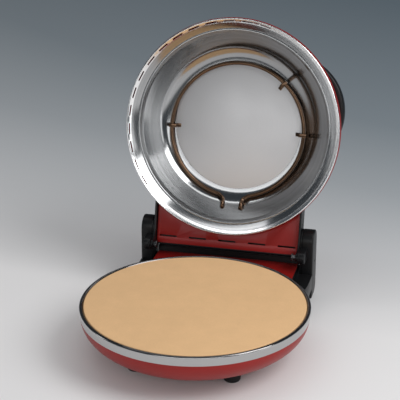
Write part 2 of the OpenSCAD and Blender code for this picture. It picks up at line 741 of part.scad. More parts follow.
module at_lamp() rotate([0, 0, pod_angle]) translate([knob_reach + 12, 0, 0]) children();

module pilot_lamp() color("#d8562a") above_rim() at_lamp() {
    translate([0, 0, pod_high - wall - 5]) cylinder(r = 2.9, h = wall + 5.6, $fn = 32);
    translate([0, 0, pod_high - wall - 2]) cylinder(r = 4, h = 2, $fn = 32);
}

control_body_h = 11;

module control_body(side) above_rim() at_knob(side) {
    block([-9, 11], [-12, 12], [pod_high - wall - control_body_h, pod_high - wall]);
    translate([0, 0, pod_high - wall]) cylinder(r = shaft_r, h = wall + 8, $fn = 32);
}

module thermostat() color("#c8c4b8") control_body(-1);

module timer() color("#c8c4b8") control_body(1);

// A knob with a grip bar, bored to turn on its shaft
module knob(side) above_rim() at_knob(side) translate([0, 0, pod_high + 0.4]) difference() {
    union() {
        cylinder(r = knob_r, h = 3);
        translate([0, 0, 3]) cylinder(r1 = knob_r - 2, r2 = knob_r - 3, h = knob_h - 3);
        block([-knob_r + 3, knob_r - 3], [-2.5, 2.5], [3, knob_h + 2]);
    }
    translate([0, 0, -1]) cylinder(r = shaft_r + 0.05, h = 9, $fn = 32);
}

module thermostat_knob() color("#1a1c1f") knob(-1);

module timer_knob() color("#1a1c1f") knob(1);

module front_handle() color("#1d2023") above_rim() difference() {
    union() {
        translate([0, 0, handle_rise]) rotate([0, 0, -90 - handle_half_turn])
            rotate_extrude(angle = 2 * handle_half_turn) translate([handle_reach, 0]) circle(r = handle_r, $fn = 48);
        for (side = [-1, 1]) rotate([0, 0, -90 + side * handle_half_turn]) translate([handle_reach, 0, 0]) {
            translate([0, 0, handle_rise]) sphere(r = handle_r + bend_swell, $fn = 48);
            translate([0, 0, 40]) cylinder(r = handle_r, h = handle_rise - 40, $fn = 48);
        }
    }
    dome_solid(0);
}

base_bowl();
base_rim();
heater_pan();
lower_insulation();
lower_element();
lower_element_clips();
lower_bushes();
bottom_plate();
bottom_screws();
front_feet();
rear_feet();
rear_moulding();
rear_bottom_plate();
rear_cover();
hinge_shelf();
rear_seal();
hinge_housing_left();
hinge_housing_right();
hinge_cover_left();
hinge_cover_right();
hinge_pins();
lid_stops();
terminal_block();
power_inlet();
pizza_stone();
lid_dome();
lid_rim();
vent_liner();
lid_insulation();
lid_reflector();
reflector_floor();
upper_element();
upper_element_clips();
upper_bushes();
hinge_plate();
hinge_back_cover();
hinge_bracket_left();
hinge_bracket_right();
bracket_screws();
control_pod();
pilot_lamp();
thermostat();
timer();
front_handle();
thermostat_knob();
timer_knob();
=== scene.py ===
import json
import math

import bmesh
import bpy
from bpy.props import FloatProperty, FloatVectorProperty, IntProperty, PointerProperty
from mathutils import Matrix, Vector


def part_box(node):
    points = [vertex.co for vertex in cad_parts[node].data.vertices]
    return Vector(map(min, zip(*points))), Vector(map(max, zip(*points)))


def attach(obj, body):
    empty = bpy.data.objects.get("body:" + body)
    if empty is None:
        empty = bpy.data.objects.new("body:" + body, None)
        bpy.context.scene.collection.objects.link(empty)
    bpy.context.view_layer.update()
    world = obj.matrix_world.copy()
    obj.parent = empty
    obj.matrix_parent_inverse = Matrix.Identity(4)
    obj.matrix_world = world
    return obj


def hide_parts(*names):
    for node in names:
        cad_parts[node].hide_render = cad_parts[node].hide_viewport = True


bl_info = {
    "name": "Electric pizza maker",
    "version": (1, 0, 0),
    "blender": (4, 5, 0),
    "location": "3D View > Sidebar > Pizza maker",
    "description": "Dresses the packed frame of a countertop pizza oven with finished pieces and materials",
    "category": "Add Mesh",
}

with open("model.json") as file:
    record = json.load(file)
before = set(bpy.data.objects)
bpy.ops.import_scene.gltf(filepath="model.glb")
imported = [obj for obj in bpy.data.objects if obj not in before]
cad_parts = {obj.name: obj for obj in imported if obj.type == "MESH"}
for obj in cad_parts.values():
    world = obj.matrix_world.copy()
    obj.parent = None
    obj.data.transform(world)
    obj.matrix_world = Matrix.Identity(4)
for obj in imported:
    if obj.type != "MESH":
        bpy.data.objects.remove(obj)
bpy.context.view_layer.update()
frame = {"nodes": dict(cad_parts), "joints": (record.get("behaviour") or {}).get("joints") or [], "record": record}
RECORD = frame["record"]
BODY_OF = {node: body for body, nodes in RECORD["behaviour"]["bodies"].items() for node in nodes}

# Lengths are in metres.
MM = 0.001
TURN = 2 * math.pi
MERGE = 1e-6
GAP = 0.01 * MM
STEEL = 1.2 * MM


# ---------------------------------------------------------------- places taken from the frame

def joint(name):
    """A joint's row in the frame."""
    return next(j for j in frame["joints"] if j["name"] == name)


HINGE = Vector(joint("lid_hinge")["pos_m"])
LID_ANGLE = math.radians(joint("lid_hinge")["range_deg"][1])
OPENED = Matrix.Translation(HINGE) @ Matrix.Rotation(-LID_ANGLE, 4, "X") @ Matrix.Translation(-HINGE)
CLOSED = OPENED.inverted()


def rest_box(node):
    """The corners of a node as it lies in the frame."""
    low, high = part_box(node)
    return Vector(low), Vector(high)


def closed_box(node):
    """The corners of a lid node as it lies when the lid is closed."""
    points = [CLOSED @ v.co for v in frame["nodes"][node].data.vertices]
    low = Vector([min(p[i] for p in points) for i in range(3)])
    high = Vector([max(p[i] for p in points) for i in range(3)])
    return low, high


RIM_LOW, RIM_HIGH = rest_box("base_rim")
RIM_R = RIM_HIGH.x
RIM_TOP = RIM_HIGH.z
BAND_FOOT = RIM_LOW.z
LID_Z = closed_box("lid_rim")[0].z
ON_LID = OPENED @ Matrix.Translation((0, 0, LID_Z))
OFF_LID = ON_LID.inverted()


def lid_box(node):
    """The corners of a lid node, measured from the lid's axis and rim plane."""
    low, high = closed_box(node)
    lift = Vector((0, 0, LID_Z))
    return low - lift, high - lift


# ---------------------------------------------------------------- profiles and meshes

def arc(centre, radii, start, end, steps):
    """Points of an elliptical arc, angles in degrees."""
    turns = [math.radians(start + (end - start) * i / steps) for i in range(steps + 1)]
    return [(centre[0] + radii[0] * math.cos(a), centre[1] + radii[1] * math.sin(a)) for a in turns]


def beside(path, gap):
    """The path shifted to its left by gap, with mitred corners."""
    points = [Vector(p) for p in path]
    normals = []
    for a, b in zip(points, points[1:]):
        run = (b - a).normalized()
        normals.append(Vector((-run.y, run.x)))
    shifted = []
    for i, p in enumerate(points):
        first = normals[max(i - 1, 0)]
        second = normals[min(i, len(normals) - 1)]
        shifted.append(tuple(p + gap * (first + second) / (1 + first.dot(second))))
    return shifted


def rounded(path, radius, steps=4, closed=False):
    """The path, flat or in space, with each corner eased into a small curve."""
    points = [Vector(p) for p in path]
    count = len(points)
    result = []
    for i, p in enumerate(points):
        if not closed and i in (0, count - 1):
            result.append(tuple(p))
            continue
        before, after = points[i - 1], points[(i + 1) % count]
        reach = min(radius, (before - p).length * 0.45, (after - p).length * 0.45)
        start = p + (before - p).normalized() * reach
        end = p + (after - p).normalized() * reach
        for k in range(steps + 1):
            t = k / steps
            result.append(tuple(start * (1 - t) ** 2 + p * 2 * t * (1 - t) + end * t ** 2))
    return result


def sheet_outline(path, thickness):
    """Closed outline of a sheet on the left of the path, or on its right if the thickness is negative."""
    return list(path) + list(reversed(beside(path, thickness)))


def to_mesh(bm, name, place=None, recalc=True, merge=MERGE):
    """Ends a bmesh: merges its doubles, turns its faces outwards and moves it to its place."""
    bmesh.ops.remove_doubles(bm, verts=bm.verts, dist=merge)
    if recalc:
        bmesh.ops.recalc_face_normals(bm, faces=bm.faces)
    if place is not None:
        bmesh.ops.transform(bm, matrix=place, verts=bm.verts)
    mesh = bpy.data.meshes.new(name)
    bm.to_mesh(mesh)
    bm.free()
    return mesh


def add_object(name, data):
    """An object in the scene's collection."""
    made = bpy.data.objects.new(name, data)
    bpy.context.scene.collection.objects.link(made)
    return made


def shade(mesh, finishes, sharp):
    """Gives a mesh its finishes and a smooth surface, broken where faces meet at over sharp degrees."""
    mesh.materials.clear()
    for finish in finishes:
        mesh.materials.append(finish)
    for face in mesh.polygons:
        face.use_smooth = True
    mesh.set_sharp_from_angle(angle=math.radians(sharp))


def link(name, mesh, finish, nodes=(), body=None, sharp=35):
    """Makes the finished object, gives it its finish, its body and the nodes that it stands for."""
    shade(mesh, finish if isinstance(finish, (list, tuple)) else [finish], sharp)
    piece = add_object(name, mesh)
    if nodes:
        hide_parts(*nodes)
    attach(piece, body or BODY_OF[nodes[0]])
    return piece


def add_lathe(bm, outline, segments=160, closed=True):
    """Spins an outline of (radius, height) points about Z."""
    old = set(bm.verts)
    verts = [bm.verts.new((r, 0, z)) for r, z in outline]
    ends = verts[1:] + verts[:1] if closed else verts[1:]
    edges = [bm.edges.new(pair) for pair in zip(verts, ends)]
    bmesh.ops.spin(bm, geom=verts + edges, cent=(0, 0, 0), axis=(0, 0, 1), angle=TURN, steps=segments,
                   use_merge=True)
    bmesh.ops.remove_doubles(bm, verts=[v for v in bm.verts if v not in old], dist=MERGE)
    new = [v for v in bm.verts if v not in old]
    bmesh.ops.recalc_face_normals(bm, faces=list({f for v in new for f in v.link_faces}))


def lathe(name, outline, place=None, segments=160, closed=True):
    """A turned mesh; an open outline starts and ends on the axis."""
    bm = bmesh.new()
    add_lathe(bm, outline, segments, closed)
    return to_mesh(bm, name, place)


def add_slab(bm, outline, depth, place=None, bevel=0.0, segments=3):
    """Extrudes a flat outline along Z by depth and rounds the edges of its two ends."""
    old = set(bm.verts)
    verts = [bm.verts.new((x, y, 0)) for x, y in outline]
    face = bm.faces.new(verts)
    lifted = bmesh.ops.extrude_face_region(bm, geom=[face])
    top = [v for v in lifted["geom"] if isinstance(v, bmesh.types.BMVert)]
    bmesh.ops.translate(bm, vec=(0, 0, depth), verts=top)
    new = [v for v in bm.verts if v not in old]
    bmesh.ops.recalc_face_normals(bm, faces=list({f for v in new for f in v.link_faces}))
    if bevel:
        rims = [e for e in {e for v in new for e in v.link_edges}
                if abs(e.verts[0].co.z - e.verts[1].co.z) < 1e-7 and len(e.link_faces) == 2
                and e.calc_face_angle(0) > 0.6]
        bmesh.ops.bevel(bm, geom=rims, offset=bevel, offset_type="OFFSET", affect="EDGES",
                        segments=segments, profile=0.5, material=-1, clamp_overlap=True)
        new = [v for v in bm.verts if v not in old]
    if place is not None:
        bmesh.ops.transform(bm, matrix=place, verts=new)


def slab(name, outline, depth, place=None):
    """A mesh of one slab, moved to its place."""
    bm = bmesh.new()
    add_slab(bm, outline, depth)
    return to_mesh(bm, name, place)


def rectangle(x0, x1, y0, y1, radius=0.0):
    """The outline of a rectangle, with round corners if a radius is given."""
    corners = [(x0, y0), (x1, y0), (x1, y1), (x0, y1)]
    return rounded(corners, radius, 5, closed=True) if radius else corners


ALONG_X = Matrix(((0, 0, 1, 0), (1, 0, 0, 0), (0, 1, 0, 0), (0, 0, 0, 1)))


def upright(x):
    """Takes a side profile, drawn as y and z, to the plane at x, with its depth along X."""
    return Matrix.Translation((x, 0, 0)) @ ALONG_X


MIRROR_X = Matrix.Scale(-1, 4, (1, 0, 0))


def tube_mesh(name, path, radius, place, sides):
    """A round bar along the path, closed at both ends."""
    curve = bpy.data.curves.new(name, "CURVE")
    curve.dimensions = "3D"
    curve.bevel_depth = radius
    curve.bevel_resolution = max(1, sides // 4 - 1)
    curve.use_fill_caps = True
    spline = curve.splines.new("POLY")
    spline.points.add(len(path) - 1)
    for target, p in zip(spline.points, path):
        target.co = (*p, 1)
    holder = add_object(name, curve)
    bpy.context.view_layer.update()
    mesh = bpy.data.meshes.new_from_object(holder.evaluated_get(bpy.context.evaluated_depsgraph_get()))
    bpy.data.objects.remove(holder)
    bpy.data.curves.remove(curve)
    bm = bmesh.new()
    bm.from_mesh(mesh)
    bpy.data.meshes.remove(mesh)
    return to_mesh(bm, name, place)


def carved(mesh, cutters):
    """Cuts the closed cutter meshes out of the mesh."""
    holder = add_object(mesh.name, mesh)
    tools = []
    for cutter in cutters:
        tool = add_object("cutter", cutter)
        cut = holder.modifiers.new("cut", "BOOLEAN")
        cut.operation = "DIFFERENCE"
        cut.solver = "EXACT"
        cut.object = tool
        tools.append(tool)
    bpy.context.view_layer.update()
    graph = bpy.context.evaluated_depsgraph_get()
    result = bpy.data.meshes.new_from_object(holder.evaluated_get(graph))
    name = mesh.name
    for tool in tools:
        cutter = tool.data
        bpy.data.objects.remove(tool)
        bpy.data.meshes.remove(cutter)
    bpy.data.objects.remove(holder)
    bpy.data.meshes.remove(mesh)
    result.name = name
    return result


def merged(node):
    """A copy of a node's mesh with its triangles joined into whole faces."""
    bm = bmesh.new()
    bm.from_mesh(frame["nodes"][node].data)
    bmesh.ops.remove_doubles(bm, verts=bm.verts, dist=2e-6)
    bmesh.ops.dissolve_limit(bm, angle_limit=math.radians(0.5), verts=bm.verts, edges=bm.edges,
                             use_dissolve_boundaries=False, delimit={"NORMAL"})
    return bm


CORNER_ANGLE = math.radians(40)


def recast(node, finish, edge=0.0, sharp=28):
    """A smooth copy of a node, with its sharp edges broken by a small bevel."""
    bm = merged(node)
    if edge:
        corners = [e for e in bm.edges if len(e.link_faces) == 2 and e.calc_face_angle(0) > CORNER_ANGLE]
        bmesh.ops.bevel(bm, geom=corners, offset=edge, offset_type="OFFSET", affect="EDGES",
                        segments=2, profile=0.5, material=-1, clamp_overlap=True)
    mesh = bpy.data.meshes.new(node)
    bm.to_mesh(mesh)
    bm.free()
    link(node + "_smooth", mesh, finish, (node,), sharp=sharp)


def recast_each(rows):
    """Recasts nodes that are given with their finish and the width of their bevel."""
    for node, maker, edge in rows:
        recast(node, use(maker), edge)


# ---------------------------------------------------------------- shader writing

class Value:
    """A shader socket whose arithmetic adds Math nodes."""

    def __init__(self, finish, socket):
        self.finish = finish
        self.socket = socket

    def math(self, operation, first, second=0.0):
        return self.finish.node("ShaderNodeMath", {"operation": operation}, {0: first, 1: second})

    def __add__(self, other):
        return self.math("ADD", self, other)

    def __sub__(self, other):
        return self.math("SUBTRACT", self, other)

    def __rsub__(self, other):
        return self.math("SUBTRACT", other, self)

    def __mul__(self, other):
        return self.math("MULTIPLY", self, other)

    def __truediv__(self, other):
        return self.math("DIVIDE", self, other)

    def __pow__(self, other):
        return self.math("POWER", self, other)

    __radd__ = __add__
    __rmul__ = __mul__


class Finish:
    """A material with one Principled shader and the nodes that feed it."""

    def __init__(self, name, **constants):
        self.material = bpy.data.materials.new(name)
        self.material.use_nodes = True
        self.tree = self.material.node_tree
        self.tree.nodes.clear()
        self.shader = self.tree.nodes.new("ShaderNodeBsdfPrincipled")
        output = self.tree.nodes.new("ShaderNodeOutputMaterial")
        self.tree.links.new(self.shader.outputs[0], output.inputs[0])
        self.feed(**constants)
        self.place = self.node("ShaderNodeTexCoord", {}, {}, "Object")

    def node(self, kind, settings, values, output=0):
        """Adds a node: its settings come first, then the values or links of its sockets."""
        made = self.tree.nodes.new(kind)
        for key, value in settings.items():
            if key == "stops":
                self.set_stops(made.color_ramp, value)
            else:
                setattr(made, key, value)
        for key, value in values.items():
            self.put(made.inputs[key], value)
        return Value(self, made.outputs[output])

    @staticmethod
    def set_stops(ramp, stops):
        while len(ramp.elements) < len(stops):
            ramp.elements.new(1.0)
        for element, (position, colour) in zip(ramp.elements, stops):
            element.position = position
            element.color = colour

    def put(self, socket, value):
        if isinstance(value, Value):
            self.tree.links.new(value.socket, socket)
        else:
            socket.default_value = value

    def feed(self, **inputs):
        """Sets or links the shader's sockets, named in lower case with underscores."""
        for name, value in inputs.items():
            label = name.replace("_", " ").title().replace("Ior", "IOR")
            self.put(self.shader.inputs[label], value)

    def noise(self, scale, detail=3.0, roughness=0.5, at=None):
        return self.node("ShaderNodeTexNoise", {}, {
            "Vector": at or self.place, "Scale": scale, "Detail": detail, "Roughness": roughness})

    def spread(self, value, low, high, start=0.0, end=1.0):
        """Maps the range low to high on to start to end, and holds it there."""
        return self.node("ShaderNodeMapRange", {"clamp": True, "interpolation_type": "SMOOTHSTEP"}, {
            "Value": value, "From Min": low, "From Max": high, "To Min": start, "To Max": end})

    def mix(self, factor, first, second):
        return self.node("ShaderNodeMix", {"data_type": "RGBA"}, {0: factor, 6: first, 7: second}, 2)

    def ramp(self, value, stops):
        return self.node("ShaderNodeValToRGB", {"stops": stops}, {0: value})

    def bump(self, height, strength, distance):
        return self.node("ShaderNodeBump", {}, {"Height": height, "Strength": strength, "Distance": distance})

    def seen_from(self, matrix):
        """The surface's place in another frame, such as the lid's own."""
        return self.node("ShaderNodeMapping", {"vector_type": "POINT"}, {
            "Vector": self.place, "Location": matrix.to_translation(), "Rotation": matrix.to_euler()})

    def parts(self, vector):
        """The x, y and z of a vector."""
        split = self.node("ShaderNodeSeparateXYZ", {}, {0: vector})
        return [Value(self, out) for out in split.socket.node.outputs]

    def reach(self, vector):
        """Distance from the Z axis."""
        x, y, _ = self.parts(vector)
        return (x * x + y * y) ** 0.5

    def line(self, value):
        """A point on the X axis, for a pattern that runs in one direction."""
        return self.node("ShaderNodeCombineXYZ", {}, {"X": value})

    def done(self):
        return self.material


def shaded(colour, factor):
    """The colour, made darker or lighter."""
    return tuple(c * factor for c in colour[:3]) + (1.0,)


# ---------------------------------------------------------------- finishes

def chosen(group):
    """The user's settings in a group."""
    return getattr(bpy.context.scene, "pizza_" + group)


def red_paint(name="red_paint", at=None):
    look = chosen("paint")
    paint = Finish(name, roughness=look.roughness, metallic=look.metallic, coat_weight=look.coat,
                   coat_roughness=0.12, specular_ior_level=0.35)
    place = paint.seen_from(at) if at is not None else paint.place
    flake = paint.noise(1400, 1, at=place)
    cloud = paint.noise(9, 3, at=place)
    tone = paint.spread(flake * 0.7 + cloud * 0.3, 0.38, 0.62)
    paint.feed(base_color=paint.mix(tone, shaded(look.colour, 0.9), shaded(look.colour, 1.1)),
               normal=paint.bump(paint.noise(420, 2, at=place), 0.05, 0.0004))
    return paint.done()


def lid_paint():
    return red_paint("red_paint_lid", OFF_LID)


def cloudy_metal(name, colour, grain, detail, start, lowest, highest):
    """Metal with one colour and clouds of lower and higher roughness."""
    metal = Finish(name, metallic=1.0, base_color=colour)
    metal.feed(roughness=metal.spread(metal.noise(grain, detail), start, 0.7, lowest, highest))
    return metal.done()


def chrome():
    look = chosen("metal")
    lowest = look.chrome_roughness
    return cloudy_metal("chrome", look.chrome, 14, 4, 0.35, lowest, lowest + 0.07)


# A darker chrome for the rolled edge: a painted reflection of the dark room around.
def rolled_chrome_painted_dark():
    return cloudy_metal("rolled_chrome_painted_dark", chosen("metal").rolled_edge_painted_dark, 20, 4, 0.35, 0.1, 0.2)


def vented_chrome():
    look = chosen("metal")
    metal = Finish("vented_chrome", metallic=1.0, base_color=look.lid_rim)
    place = metal.seen_from(OFF_LID)
    metal.feed(roughness=metal.spread(metal.noise(18, 3, at=place), 0.35, 0.7, 0.14, 0.24))
    return metal.done()


def reflector():
    """Polished aluminium with fine rings from spinning."""
    look = chosen("metal")
    metal = Finish("reflector", metallic=1.0)
    place = metal.seen_from(OFF_LID)
    height = metal.parts(place)[2]
    across = metal.reach(place) * 0.7 - height
    rings = metal.noise(1.0, 2, at=metal.line(across * 900))
    bands = metal.noise(1.0, 3, at=metal.line(across * 160))
    tone = metal.spread(bands, 0.35, 0.65)
    lowest = look.reflector_roughness
    metal.feed(base_color=metal.mix(tone, shaded(look.reflector, 0.86), look.reflector),
               roughness=metal.spread(rings, 0.3, 0.7, lowest, lowest + 0.05),
               normal=metal.bump(bands, 0.03, 0.0005))
    return metal.done()


def reflector_disc():
    """Brushed aluminium with faint rings, and painted light that makes it paler towards the hinge."""
    look = chosen("metal")
    metal = Finish("reflector_disc", metallic=0.55)
    place = metal.seen_from(OFF_LID)
    rings = metal.noise(1.0, 2, at=metal.line(metal.reach(place) * 520))
    cloud = metal.noise(11, 4, at=place)
    painted_light_to_hinge = metal.parts(place)[1]
    # The tone mixes random rings and clouds with a painted light that rises towards the hinge.
    tone = metal.spread(rings * 0.15 + cloud * 0.2 + painted_light_to_hinge * 3.0, -0.15, 0.5)
    metal.feed(base_color=metal.mix(tone, shaded(look.disc, 0.84), shaded(look.disc, 1.15)),
               roughness=metal.spread(cloud, 0.3, 0.7, 0.36, 0.48),
               normal=metal.bump(rings, 0.05, 0.0004))
    return metal.done()


def plain_metal(name, colour, roughness):
    return cloudy_metal(name, colour, 60, 3, 0.3, roughness, roughness + 0.12)


def pan_steel():
    return plain_metal("pan_steel", chosen("metal").pan, 0.28)


def bright_steel():
    return plain_metal("bright_steel", chosen("metal").fastener, 0.2)


def dark_steel():
    return plain_metal("dark_steel", shaded(chosen("metal").fastener, 0.2), 0.3)


def element_metal():
    look = chosen("metal")
    metal = Finish("element_metal", metallic=0.9)
    place = metal.seen_from(OFF_LID)
    heat = metal.noise(26, 4, 0.6, at=place)
    metal.feed(base_color=metal.mix(metal.spread(heat, 0.35, 0.65), shaded(look.element, 0.7), look.element),
               roughness=metal.spread(heat, 0.3, 0.7, 0.16, 0.26))
    return metal.done()


def plastic(name, colour, roughness, grain):
    black = Finish(name, base_color=colour, specular_ior_level=0.3)
    texture = black.noise(grain, 3)
    black.feed(roughness=black.spread(texture, 0.3, 0.7, roughness, roughness + 0.06),
               normal=black.bump(texture, 0.08, 0.0003))
    return black.done()


def black_plastic():
    look = chosen("plastic")
    return plastic("black_plastic", look.colour, look.roughness, 1100)


def black_gloss():
    look = chosen("plastic")
    return plastic("black_gloss", look.knob, 0.2, 300)


def printed_white():
    return plastic("printed_white", chosen("plastic").print, 0.5, 300)


def stone_finish():
    """Fired clay: pale orange, with fine grains, soft clouds and a few darker specks."""
    look = chosen("stone")
    clay = Finish("stone", roughness=look.roughness, specular_ior_level=0.25)
    grain = clay.noise(1500, 3, 0.6)
    cloud = clay.noise(7, 4, 0.55)
    scuff = clay.noise(38, 5, 0.6)
    speck = clay.node("ShaderNodeTexVoronoi", {"feature": "F1"}, {"Vector": clay.place, "Scale": 260.0})
    tone = clay.mix(clay.spread(cloud * 0.3 + scuff * 0.2 + grain * 0.5, 0.38, 0.62),
                    shaded(look.colour, 0.93), shaded(look.colour, 1.04))
    spots = clay.mix(clay.spread(speck, 0.05, 0.13, look.speckle, 0.0), tone, shaded(look.colour, 0.55))
    clay.feed(base_color=spots, normal=clay.bump(grain * 0.7 + scuff * 0.3, 0.22, 0.0006))
    return clay.done()


def rubber():
    return plastic("rubber", chosen("plastic").rubber, 0.6, 700)


def ceramic():
    return plastic("ceramic", chosen("plastic").ceramic, 0.4, 400)


def fibre():
    wool = Finish("fibre", roughness=0.9, base_color=(0.62, 0.6, 0.52, 1.0))
    wool.feed(normal=wool.bump(wool.noise(900, 5, 0.7), 0.5, 0.001))
    return wool.done()


def lamp_lens():
    lens = Finish("lamp_lens", base_color=chosen("plastic").lamp, coat_weight=0.6)
    lens.feed(roughness=lens.spread(lens.noise(500), 0.3, 0.7, 0.16, 0.24))
    return lens.done()


FINISHES = {}


def use(maker):
    """The finish that maker gives, made once."""
    if maker not in FINISHES:
        FINISHES[maker] = maker()
    return FINISHES[maker]


# ---------------------------------------------------------------- settings

# Shorthands for the kinds of setting.

def size(label, text, default, low, high):
    return FloatProperty(name=label, description=text, default=default, min=low, max=high, subtype="DISTANCE",
                         unit="LENGTH", precision=4)


def colour(label, text, default):
    return FloatVectorProperty(name=label, description=text, default=default, size=4, min=0.0, max=1.0,
                               subtype="COLOR")


def angle(label, text, degrees):
    return FloatProperty(name=label, description=text, default=math.radians(degrees), subtype="ANGLE",
                         unit="ROTATION")


def share(label, text, default, high=1.0):
    return FloatProperty(name=label, description=text, default=default, min=0.0, max=high, subtype="FACTOR")


def power(label, text, default):
    return FloatProperty(name=label, description=text, default=default, min=0.0, unit="POWER")


class PizzaPaint(bpy.types.PropertyGroup):
    """Red paint of the bowl, the dome, the shelf and the hinge plate."""
    colour: colour("Paint colour", "Colour of the painted steel", (0.28, 0.0095, 0.0075, 1.0))
    roughness: share("Paint roughness", "Roughness under the clear coat", 0.42)
    metallic: share("Metallic share", "How metallic the paint is", 0.1)
    coat: share("Clear coat", "Strength of the clear coat", 0.12)


class PizzaMetal(bpy.types.PropertyGroup):
    """Bare metal of the rims, the reflector and the elements."""
    chrome: colour("Chrome colour", "Colour of the base's band", (0.5, 0.5, 0.5, 1.0))
    chrome_roughness: share("Chrome roughness", "Lowest roughness of the base's band", 0.12)
    # The rolled edge's colour is darker than the band's: a painted reflection of the dark room around.
    rolled_edge_painted_dark: colour("Rolled edge colour", "Colour of the rolled edge beside the stone",
                        (0.2, 0.19, 0.19, 1.0))
    lid_rim: colour("Lid rim colour", "Colour of the slotted lid rim", (0.9, 0.9, 0.9, 1.0))
    reflector: colour("Reflector colour", "Colour of the lid's polished reflector", (0.42, 0.425, 0.43, 1.0))
    reflector_roughness: share("Reflector roughness", "Lowest roughness of the reflector", 0.13)
    disc: colour("Disc colour", "Colour of the reflector's flat floor", (0.62, 0.62, 0.63, 1.0))
    element: colour("Element colour", "Colour of the heating elements", (0.15, 0.09, 0.055, 1.0))
    pan: colour("Pan colour", "Colour of the pan under the stone", (0.6, 0.6, 0.6, 1.0))
    fastener: colour("Fastener colour", "Colour of screws, pins and clips", (0.7, 0.7, 0.72, 1.0))


class PizzaStone(bpy.types.PropertyGroup):
    """The pizza stone."""
    colour: colour("Stone colour", "Colour of the fired clay", (0.74, 0.47, 0.245, 1.0))
    roughness: share("Stone roughness", "Roughness of the stone", 0.85)
    speckle: share("Specks", "Strength of the darker specks", 0.35)
    edge: size("Stone edge", "Radius of the stone's edges", 1.2 * MM, 0.3 * MM, 2 * MM)


class PizzaPlastic(bpy.types.PropertyGroup):
    """Black mouldings, knobs, feet and small parts."""
    colour: colour("Plastic colour", "Colour of the mouldings", (0.006, 0.0062, 0.007, 1.0))
    roughness: share("Plastic roughness", "Roughness of the mouldings", 0.36)
    knob: colour("Knob colour", "Colour of the knobs", (0.01, 0.01, 0.011, 1.0))
    rubber: colour("Rubber colour", "Colour of feet, stops and seal", (0.012, 0.012, 0.013, 1.0))
    print: colour("Print colour", "Colour of the marks round the knobs", (0.8, 0.8, 0.8, 1.0))
    ceramic: colour("Ceramic colour", "Colour of collars and terminal block", (0.72, 0.69, 0.62, 1.0))
    lamp: colour("Lamp colour", "Colour of the pilot lamp", (0.75, 0.16, 0.03, 1.0))
    edge: size("Edge radius", "Radius of the mouldings' edges", 1.4 * MM, 0.2 * MM, 2.5 * MM)


class PizzaShape(bpy.types.PropertyGroup):
    """Shapes that the finished pieces add to the frame."""
    vent_count: IntProperty(name="Vent slots", description="Number of slots in the lid rim", default=15,
                            min=1)
    vent_first: angle("First vent slot", "Place of the first slot round the lid", 145)
    vent_pitch: angle("Vent pitch", "Turn from one slot to the next", 10)
    element_radius: size("Element radius", "Radius of the upper element's tube", 3.2 * MM, 2 * MM, 5 * MM)


class PizzaStage(bpy.types.PropertyGroup):
    """Floor, light and camera."""
    # The near and far floor colours paint a pool of light round the object; the far colour is also the room that
    # the camera sees.
    floor_near: colour("Floor colour", "Colour of the floor near the object", (0.8, 0.79, 0.79, 1.0))
    floor_far: colour("Far floor colour", "Colour of the floor far behind", (0.165, 0.21, 0.245, 1.0))
    mirrored: colour("Mirrored room", "Colour of the room that mirrors show", (0.07, 0.08, 0.09, 1.0))
    floor_radius: size("Floor radius", "Radius of the floor", 4.0, 1.0, 20.0)
    sky: share("Room light", "Brightness of the room around", 0.4, 4.0)
    key: power("Key light", "Power of the light above on the right", 31.5)
    overhead: power("Overhead light", "Power of the light over the lid", 4.6)
    front: power("Front light", "Power of the light low in front", 11.0)
    side: power("Side lights", "Power of the soft boxes at the sides", 1.6)
    lens: FloatProperty(name="Lens", description="Focal length of the camera", default=141.32, min=10.0,
                        subtype="DISTANCE_CAMERA")


# ---------------------------------------------------------------- base

BOWL_FLOOR_R = 75 * MM
BOWL_FLOOR_Z = rest_box("base_bowl")[0].z
SERVICE_R = 52 * MM
BOWL_TOP_R = RIM_R - 1.7 * MM
RIM_IN_R = RIM_R - 6 * MM
LEDGE_IN_R = RIM_IN_R - 6 * MM
STONE_LOW, STONE_HIGH = rest_box("pizza_stone")
# The radius that an eased corner has, as a share of the length that it takes from each side.
EASED_SHARE = 0.6
LEDGE_Z = STONE_LOW.z
BAND_FOOT_R = RIM_R - 1.3 * MM
BAND_SHEET = 1 * MM
ROLL_R = 3 * MM
ROLL_Z = RIM_TOP - ROLL_R
PAN_FLOOR_R = 132 * MM
PAN_WALL_R = 150 * MM
PAN_LIP_R = 151.2 * MM
PAN_BEND_R = 5 * MM
PAN_SHEET = 0.8 * MM


